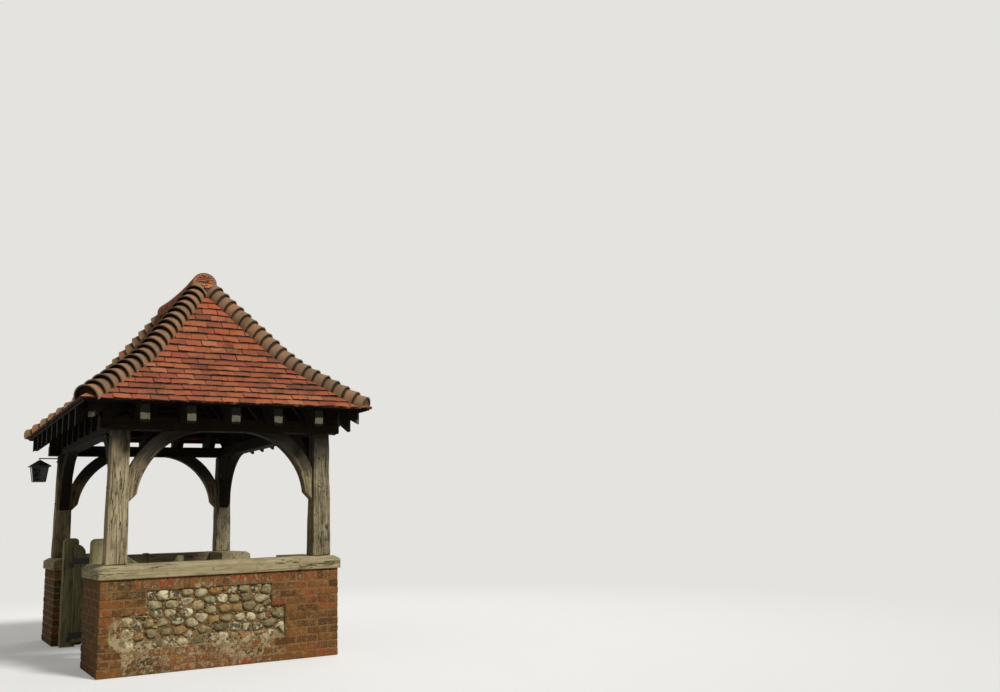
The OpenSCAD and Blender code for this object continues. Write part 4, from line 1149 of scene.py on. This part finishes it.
def ridge_shells(seed):
    """The six tiles: arches carried along X, a little thinner at their two rims."""
    draw = np.random.default_rng(seed)
    x = np.arange(6)[:, None] * HALF / 3 - HALF + np.array([0.0045, 0.0085, 0.15, 0.288, 0.2922])
    loop = np.stack([ridge_arc(0.124 - 0.6 * thin, 0.109 + 0.3 * thin, LEGS)
                     for thin in (0.004, 0, 0, 0, 0.004)])
    loop = loop * (1 + draw.uniform(-0.022, 0.0, (6, 1, 1, 1)))
    points = np.concatenate([np.broadcast_to(x[:, :, None, None], (*loop.shape[:3], 1)), loop], -1)
    return part(sagged(points + (0, 0, AXIS)), arch_faces(*loop.shape[:3]), np.array([0, 0.06, 0.0]),
                draw.random((6, 1, 1, 3)))


def ridge_bed(seed):
    """The mortar under and between the ridge tiles, squeezed out below."""
    loop = ridge_arc(0.1175, 0.100, 0.052)
    m = len(loop)
    x = np.concatenate([[-0.884], np.linspace(-0.88, 0.88, 120), [0.884]])
    points = np.stack(np.broadcast_arrays(x[:, None], *loop.T + [[0], [AXIS]]), -1).copy()
    outer = points[:, :m // 2]
    swell = 0.006 * ripple(outer, 0.09, seed) * smooth(AXIS - outer[..., 2], 0.0, 0.045)
    outer[..., 1] += np.sign(outer[..., 1]) * swell
    return part(sagged(points), arch_faces(1, len(x), m))


def end_slips(seed):
    """Five slips in the right end of the ridge, as wide as the arch at their height, and four bits of
    broken tile pressed askew into the apron below, which lean with it."""
    draw = np.random.default_rng(seed)
    z = np.arange(5) * 0.0215 + 0.008
    wide = 1.1 * np.sqrt(np.maximum(0.104 ** 2 - (np.abs(z) + 0.008) ** 2, 0.0004))
    middle = np.column_stack([0.868 + draw.uniform(-0.002, 0.002, 5), draw.uniform(-0.003, 0.003, 5),
                              AXIS + z])
    half = np.column_stack([np.full(5, 0.018), wide - 0.004, np.full(5, 0.0074)])
    bits = np.array([(984, -30, -30), (984, 26, -40), (984, -4, -70), (984, 44, -14)]) / 1000 + (0, 0, AXIS)
    middle = np.concatenate([middle, bits])
    half = np.concatenate([half, np.array([(8, 27, 15), (8, 24, 20), (8, 30, 13), (8, 17, 10)]) / 1000])
    wear = draw.uniform(0.002, 0.004, 9)
    points, faces, grain, tint = blocks(middle, half, wear, draw.random((9, 3)), seed)
    bits = points[5 * 24:]
    bits[:, 2] += np.repeat([0.25, -0.2, 0.12, 0.3], 24) * bits[:, 1]
    bits[:, 0] -= 0.95 * (bits[:, 2] - AXIS + 0.042)
    return points, faces, 0 * grain + (0, 0.06, 0), tint


def end_mortar(seed):
    """A D-shaped plug behind the slips, a ring of points for each height. Below them it swells forward,
    most in the middle, into an apron between the heads of the top bonnets."""
    z = np.linspace(0.1078, -0.108, 30)[:, None]
    wide = np.where(z > 0, 0.1194 * np.sqrt(1 - (z / 0.1085) ** 2),
                    np.interp(-z, [0, 0.052, 0.088, 0.110], [0.1194, 0.078, 0.040, 0.004]))
    across = np.linspace(-1, 1, 15)[None]
    swell = 0.13 * (1 - np.exp(-np.maximum(0.006 - z, 0) / 0.05)) + 0.25 * np.maximum(-z, 0)
    swell = swell * (1 - 0.75 * across ** 2)
    front, behind = (np.stack(np.broadcast_arrays(x, wide * across, AXIS + z), -1)
                     for x in (0.875 + swell, 0.838 + 0 * swell))
    front[..., 0] += (0.0010 + 0.02 * swell) * ripple(front, 0.035, seed)
    return part(np.concatenate([front, behind[:, ::-1]], 1), ring_faces(1, 30, 30))


plugs = [p for x in (1, -1) for p in mirrored([end_mortar(102)], x)]
slips = [p for i, x in enumerate((1, -1)) for p in mirrored([end_slips(103 + i)], x)]
print("ridge top at", round(AXIS + 0.124, 4))

# %% [markdown]
# Clay tiles are orange where the fire was clean and brown where it was smoky. A roof then darkens with
# soot, algae and lichen, except where tiles were put back fresh, as near this ridge. The bonnets are of a
# browner clay and hold more lichen, because they stand out in the rain.

# %% Clay materials
def clay(name, stops, fresh, soot, moss, lichen, edge, rim):
    """Hand-made clay tile: a colour for each tile, sandy grain, then soot, algae and lichen. The grain's
    second number is the way up from the tail: painted shade darkens the strip under the next tail, and
    `edge` adds painted shade at the tail's edge and in the side joints. `rim` paints the tail paler, partly
    as lichen and weathering and partly as painted light on the lit rim. The grain's third number is the
    depth, which blackens a bonnet's hollow as painted shade. The third tint is how far down the slope a
    tile hangs."""
    begin(name)
    grain, one, two, low = marks()
    beside, up, depth = (pick(grain, letter) for letter in "XYZ")
    place = here()
    own = add("VectorMath", {"operation": "MULTIPLY_ADD"}, out="Vector", _0=carried("tint"),
              _1=(37.0, 53.0, 71.0), _2=place)
    body = coat(ramp(one, *stops), "#c4603a", calc("ADD", low, speckle(place, 500, 1)), 0.95, 0.45, fresh)
    sandy = speckle(own, 9, 5, 0.7)
    body = coat(body, "#c98a5c", sandy, 0.5, 0.75, 0.4)
    body = coat(body, "#6f3d29", sandy, 0.46, 0.28, 0.5)
    dark = times(band(speckle(place, 300, 4, 0.62), 0.44, 0.66), band(two, 0.0, 0.7))
    body = blend(times(dark, soot), body, "#553b2c")
    body = coat(body, "#776d48", speckle(place, 90, 5, 0.65), 0.5, 0.66, moss)
    # Paler tails: partly lichen and weathering, partly painted light on the lit rims
    body = coat(body, "#97876b", up, 0.045, 0.008, rim)
    spot = times(band(speckle(place, 17, 4, 0.7), 0.645, 0.69), band(speckle(place, 210, 2), 0.42, 0.56))
    body = blend(times(spot, lichen), body, "#d6ccac")
    # Shade at the tail's own edge, in the strip that the next course covers, and in the joints at the sides
    uneven = calc("ADD", up, times(calc("SUBTRACT", speckle(place, 70, 3), 0.5), 0.03))
    tail_edge = times(band(uneven, 0.0065, 0.001), edge)
    covered = times(band(uneven, 0.076, 0.102), 0.9)
    joint = times(band(calc("ABSOLUTE", beside), 0.0760, 0.0795), times(band(one, 0.35, 0.9), edge))
    covered = calc("MAXIMUM", covered, times(joint, 0.7))
    body = blend(calc("MAXIMUM", tail_edge, covered), body, "#22150e")
    # Painted shade: a bonnet's under sheet, the inside of its hollow, is near black
    body = blend(band(depth, 0.011, 0.0145), body, "#1d140d")
    matt(body, 0.9, calc("ADD", sandy, speckle(own, 40, 3)), 2.0, 0.25)


clay("roof_tile", [(0.0, "#8a4d38"), (0.15, "#a3573c"), (0.4, "#b0603f"), (0.62, "#b76843"), (0.8, "#bf7450"),
                   (0.92, "#a5523d"), (1.0, "#8e553f")], 0.75, 0.7, 0.3, 0.9, 0.95, 0.0)
clay("bonnet_tile", [(0.0, "#8a6b4f"), (0.3, "#987557"), (0.6, "#a47f5f"), (0.85, "#b1825c"),
                     (1.0, "#b6734e")], 0.0, 0.4, 0.6, 1.0, 0.0, 0.45)
clay("ridge_tile", [(0.0, "#99573d"), (0.5, "#ab6344"), (1.0, "#b9724e")], 0.0, 0.6, 0.3, 0.9, 0.0, 0.0)
clay("slip_tile", [(0.0, "#b56744"), (0.5, "#c87850"), (1.0, "#d48a60")], 0.0, 0.2, 0.3, 0.9, 0.0, 0.0)
for name, low, middle, high in (("shaded_mortar", "#1d150e", "#35281c", "#5a4734"),
                                ("hip_mortar", "#463627", "#6c563f", "#927658"),
                                ("bedding_mortar", "#7a5f49", "#b59272", "#dcc0a0")):
    begin(name)
    sand = speckle(here(), 7, 4, 0.7)
    matt(ramp(sand, (0.3, low), (0.5, middle), (0.7, high)), 0.95, sand, 3.0, 0.2)
print("clay and mortar finishes:", [name for name in made if "tile" in name or "mortar" in name])

# %% Cover the roof
for name, slope in slopes.items():
    piece(name + "_plain_tiles", [slope], "roof_tile", name + "_tiles")
for name, parts in bonnets.items():
    piece(name + "_bonnet_shells", parts, "bonnet_tile", name + "_bonnets", crease=40)
piece("road_bonnet_bedding", mouths[1], "shaded_mortar")
piece("yard_bonnet_bedding", mouths[-1], "hip_mortar")
piece("ridge_shells", [ridge_shells(101)], "ridge_tile", "ridge_tiles", crease=40)
piece("ridge_bedding", [ridge_bed(104), *plugs], "bedding_mortar", "ridge_tiles")
piece("ridge_end_slips", slips, "slip_tile", "ridge_tiles")

# %% [markdown]
# ## The gates
# A pair of low oak gates hangs between two posts with rounded heads, folded back along the path. A leaf is
# a proper frame: a wide hanging stile with a quarter-round shoulder, a top rail that falls in a sweep, two
# more rails, a meeting stile, and thin pales let in between. Its top is one line, written once as a
# function of the distance from the hinge.

# %% Make the gate posts and the leaves
GATE_POST, LEAF_X, LEAF_Y = (0.98, -1.01), 0.86, -1.0
STILE, MEETING, RAIL = 0.138, 0.788, 0.956


def gate_post(seed):
    """A 160 mm square post whose sides curve in at the top by a quarter circle of 45 mm radius."""
    outline = eased([(-1, -1), (1, -1), (1, 1), (-1, 1)], 0.07)
    a = np.radians(np.linspace(0, 90, 9))
    z = np.concatenate([np.linspace(0.0, 1.19, 40), 1.195 + 0.045 * np.sin(a)])[:, None, None]
    half = np.concatenate([np.full(40, 0.080), 0.035 + 0.045 * np.cos(a)])[:, None, None]
    out = np.concatenate([half * outline, 0 * half * outline[:, :1]], -1)
    points = out + (*GATE_POST, 0) + z * (0, 0, 1)
    points = points + 0.0144 * (ripple(points, 0.3, seed) - 0.9)[..., None] * out
    x, y = (points[..., i] - GATE_POST[i] for i in (0, 1))
    grain = np.stack([points[..., 2], x, y], -1) + (seed, 0.01, 0.02)
    return part(points, ring_faces(1, *points.shape[:2]), grain, np.random.default_rng(seed).random(3))


def leaf_top(u):
    """Height of a leaf's top: shoulder, level, falling sweep, level, then a hollow up to the meeting
    stile."""
    shoulder = 1.058 + 0.112 * np.sqrt(np.clip(1 - (np.maximum(u - 0.028, 0) / 0.11) ** 2, 0, 1))
    sweep = RAIL + 0.102 * (1 + np.cos(np.pi * np.clip((u - 0.238) / 0.220, 0, 1))) / 2
    hollow = RAIL + 0.079 * (1 - np.sqrt(np.clip(1 - (np.clip((u - 0.713) / 0.075, 0, 1)) ** 2, 0, 1)))
    return np.where(u < STILE, shoulder, np.where(u < 0.6, sweep, np.where(u < MEETING, hollow, 1.035)))


def leaf_board(u0, u1, low, high, thick, seed, upright=False, ease=0.005, steps=30):
    """A board of the leaf between two edge lines, with its grain level or upright."""
    u = np.linspace(u0, u1, 41)
    bottom, top = (np.stack([0 * u + LEAF_X, u + LEAF_Y, h(u) if callable(h) else 0 * u + h], -1)
                   for h in (low, high))
    points, faces, grain, tint = timber(bottom, top, (1, 0, 0), thick, ease, 0.0008, steps, seed)
    return points, faces, grain[:, [1, 0, 2]] if upright else grain, tint


inner = (STILE + 0.0005, MEETING - 0.0005)
frame_boards = [leaf_board(0.018, STILE, 0.05, leaf_top, 0.055, 111, True),
                leaf_board(MEETING, 0.856, 0.05, 1.035, 0.055, 112, True, steps=4),
                leaf_board(*inner, 0.85, leaf_top, 0.053, 113, steps=50),
                leaf_board(*inner, 0.48, 0.57, 0.051, 114, steps=20),
                leaf_board(*inner, 0.05, 0.20, 0.053, 115, steps=20)]
pales = []
for i in range(6):
    middle = STILE + (i + 0.5) * (MEETING - STILE) / 6
    pales += [leaf_board(middle - 0.031, middle + 0.031, *rise, 0.020, 120 + 2 * i + j, True, 0.003, 3)
              for j, rise in enumerate(((0.2, 0.48), (0.57, 0.85)))]
for name, x in SIDES:
    piece(name + "_round_post", mirrored([gate_post(117 + x)], x), "gate_oak", name + "_gate_post", crease=30)
    piece(name + "_leaf_frame", mirrored(frame_boards, x), "gate_oak", name + "_gate_frame", name + "_gate")
    piece(name + "_leaf_pales", mirrored(pales, x), "gate_oak", name + "_gate_pales", name + "_gate")
print("leaf top at its middle", float(leaf_top(np.array(0.5))))

# %% [markdown]
# ## Ironwork and the lantern
# The straps, hooks and lantern are blacksmith's iron painted black, matt with age and rusting at its edges.
# Their CAD shapes are right, so they only get the finish. Their bolts, and the pegs of the oak joints, are
# small domes: a profile turned about its own middle.

# %% Iron, glass, bolts and pegs
begin("iron")
place = here()
rust = band(speckle(place, 24, 5, 0.7), 0.56, 0.7)
body = blend(times(rust, 0.6), blend(speckle(place, 60, 3), "#1f1f1d", "#34322e"), "#5d3a26")
gloss = add("MapRange", Value=rust, To_Min=0.48, To_Max=0.85)
matt(body, gloss, speckle(place, 9, 4, 0.6), 0.8)

begin("glass")
film = times(band(speckle(here(), 30, 4, 0.65), 0.45, 0.7), 0.25)
gloss = add("MapRange", Value=film, To_Min=0.06, To_Max=0.6)
add("OutputMaterial", Surface=add("BsdfPrincipled", out="BSDF", Base_Color=blend(film, "#3b4038", "#4f4c40"),
                                  Roughness=gloss, IOR=1.5, Transmission_Weight=0.9))

for node in ("right_gate_straps", "left_gate_straps", "gate_hooks", "lantern_frame"):
    dress(node, "iron")
dress("lantern_glass", "glass")


def domes(places, way, radius, proud, points=10):
    """Low domes at many places, all facing `way`: rings whose radius falls off as a quarter circle."""
    z = unit(way)
    x = unit(np.cross(z, (0.3, 0.2, 0.9)))
    a = np.radians([0, 0, 30, 60, 80])
    r, h = radius * np.cos(a), proud * np.sin(a)
    h[0] = -0.006
    shape = r[:, None, None] * (circle(points) @ np.stack([x, np.cross(z, x)])) + h[:, None, None] * z
    return part(np.array(places)[:, None, None] + shape, ring_faces(len(places), 5, points))


bolts = [(0.8265, y, z) for z in (0.132, 0.975) for y in (-0.945, -0.84, -0.71)]
for name, x in SIDES:
    piece(name + "_bolt_heads", mirrored([domes(bolts, (-1, 0, 0), 0.011, 0.006)], x), "iron",
          body=name + "_gate", crease=40)
side_pegs = [(1.926, -1.035, 1.67), (1.926, -0.985, 1.72), (1.9165, -1.045, 2.20), (1.9165, -0.975, 2.20)]
front_pegs = [(x, -1.1045, z) for x, z in ((1.855, 1.67), (1.805, 1.72), (1.86, 2.2), (1.80, 2.2))]
pegs = [domes(side_pegs, (1, 0, 0), 0.0115, 0.005, 8), domes(front_pegs, (0, -1, 0), 0.0115, 0.005, 8)]
piece("oak_pegs", [p for x, y in corners.values() for p in mirrored(pegs, x, y)], "oak")
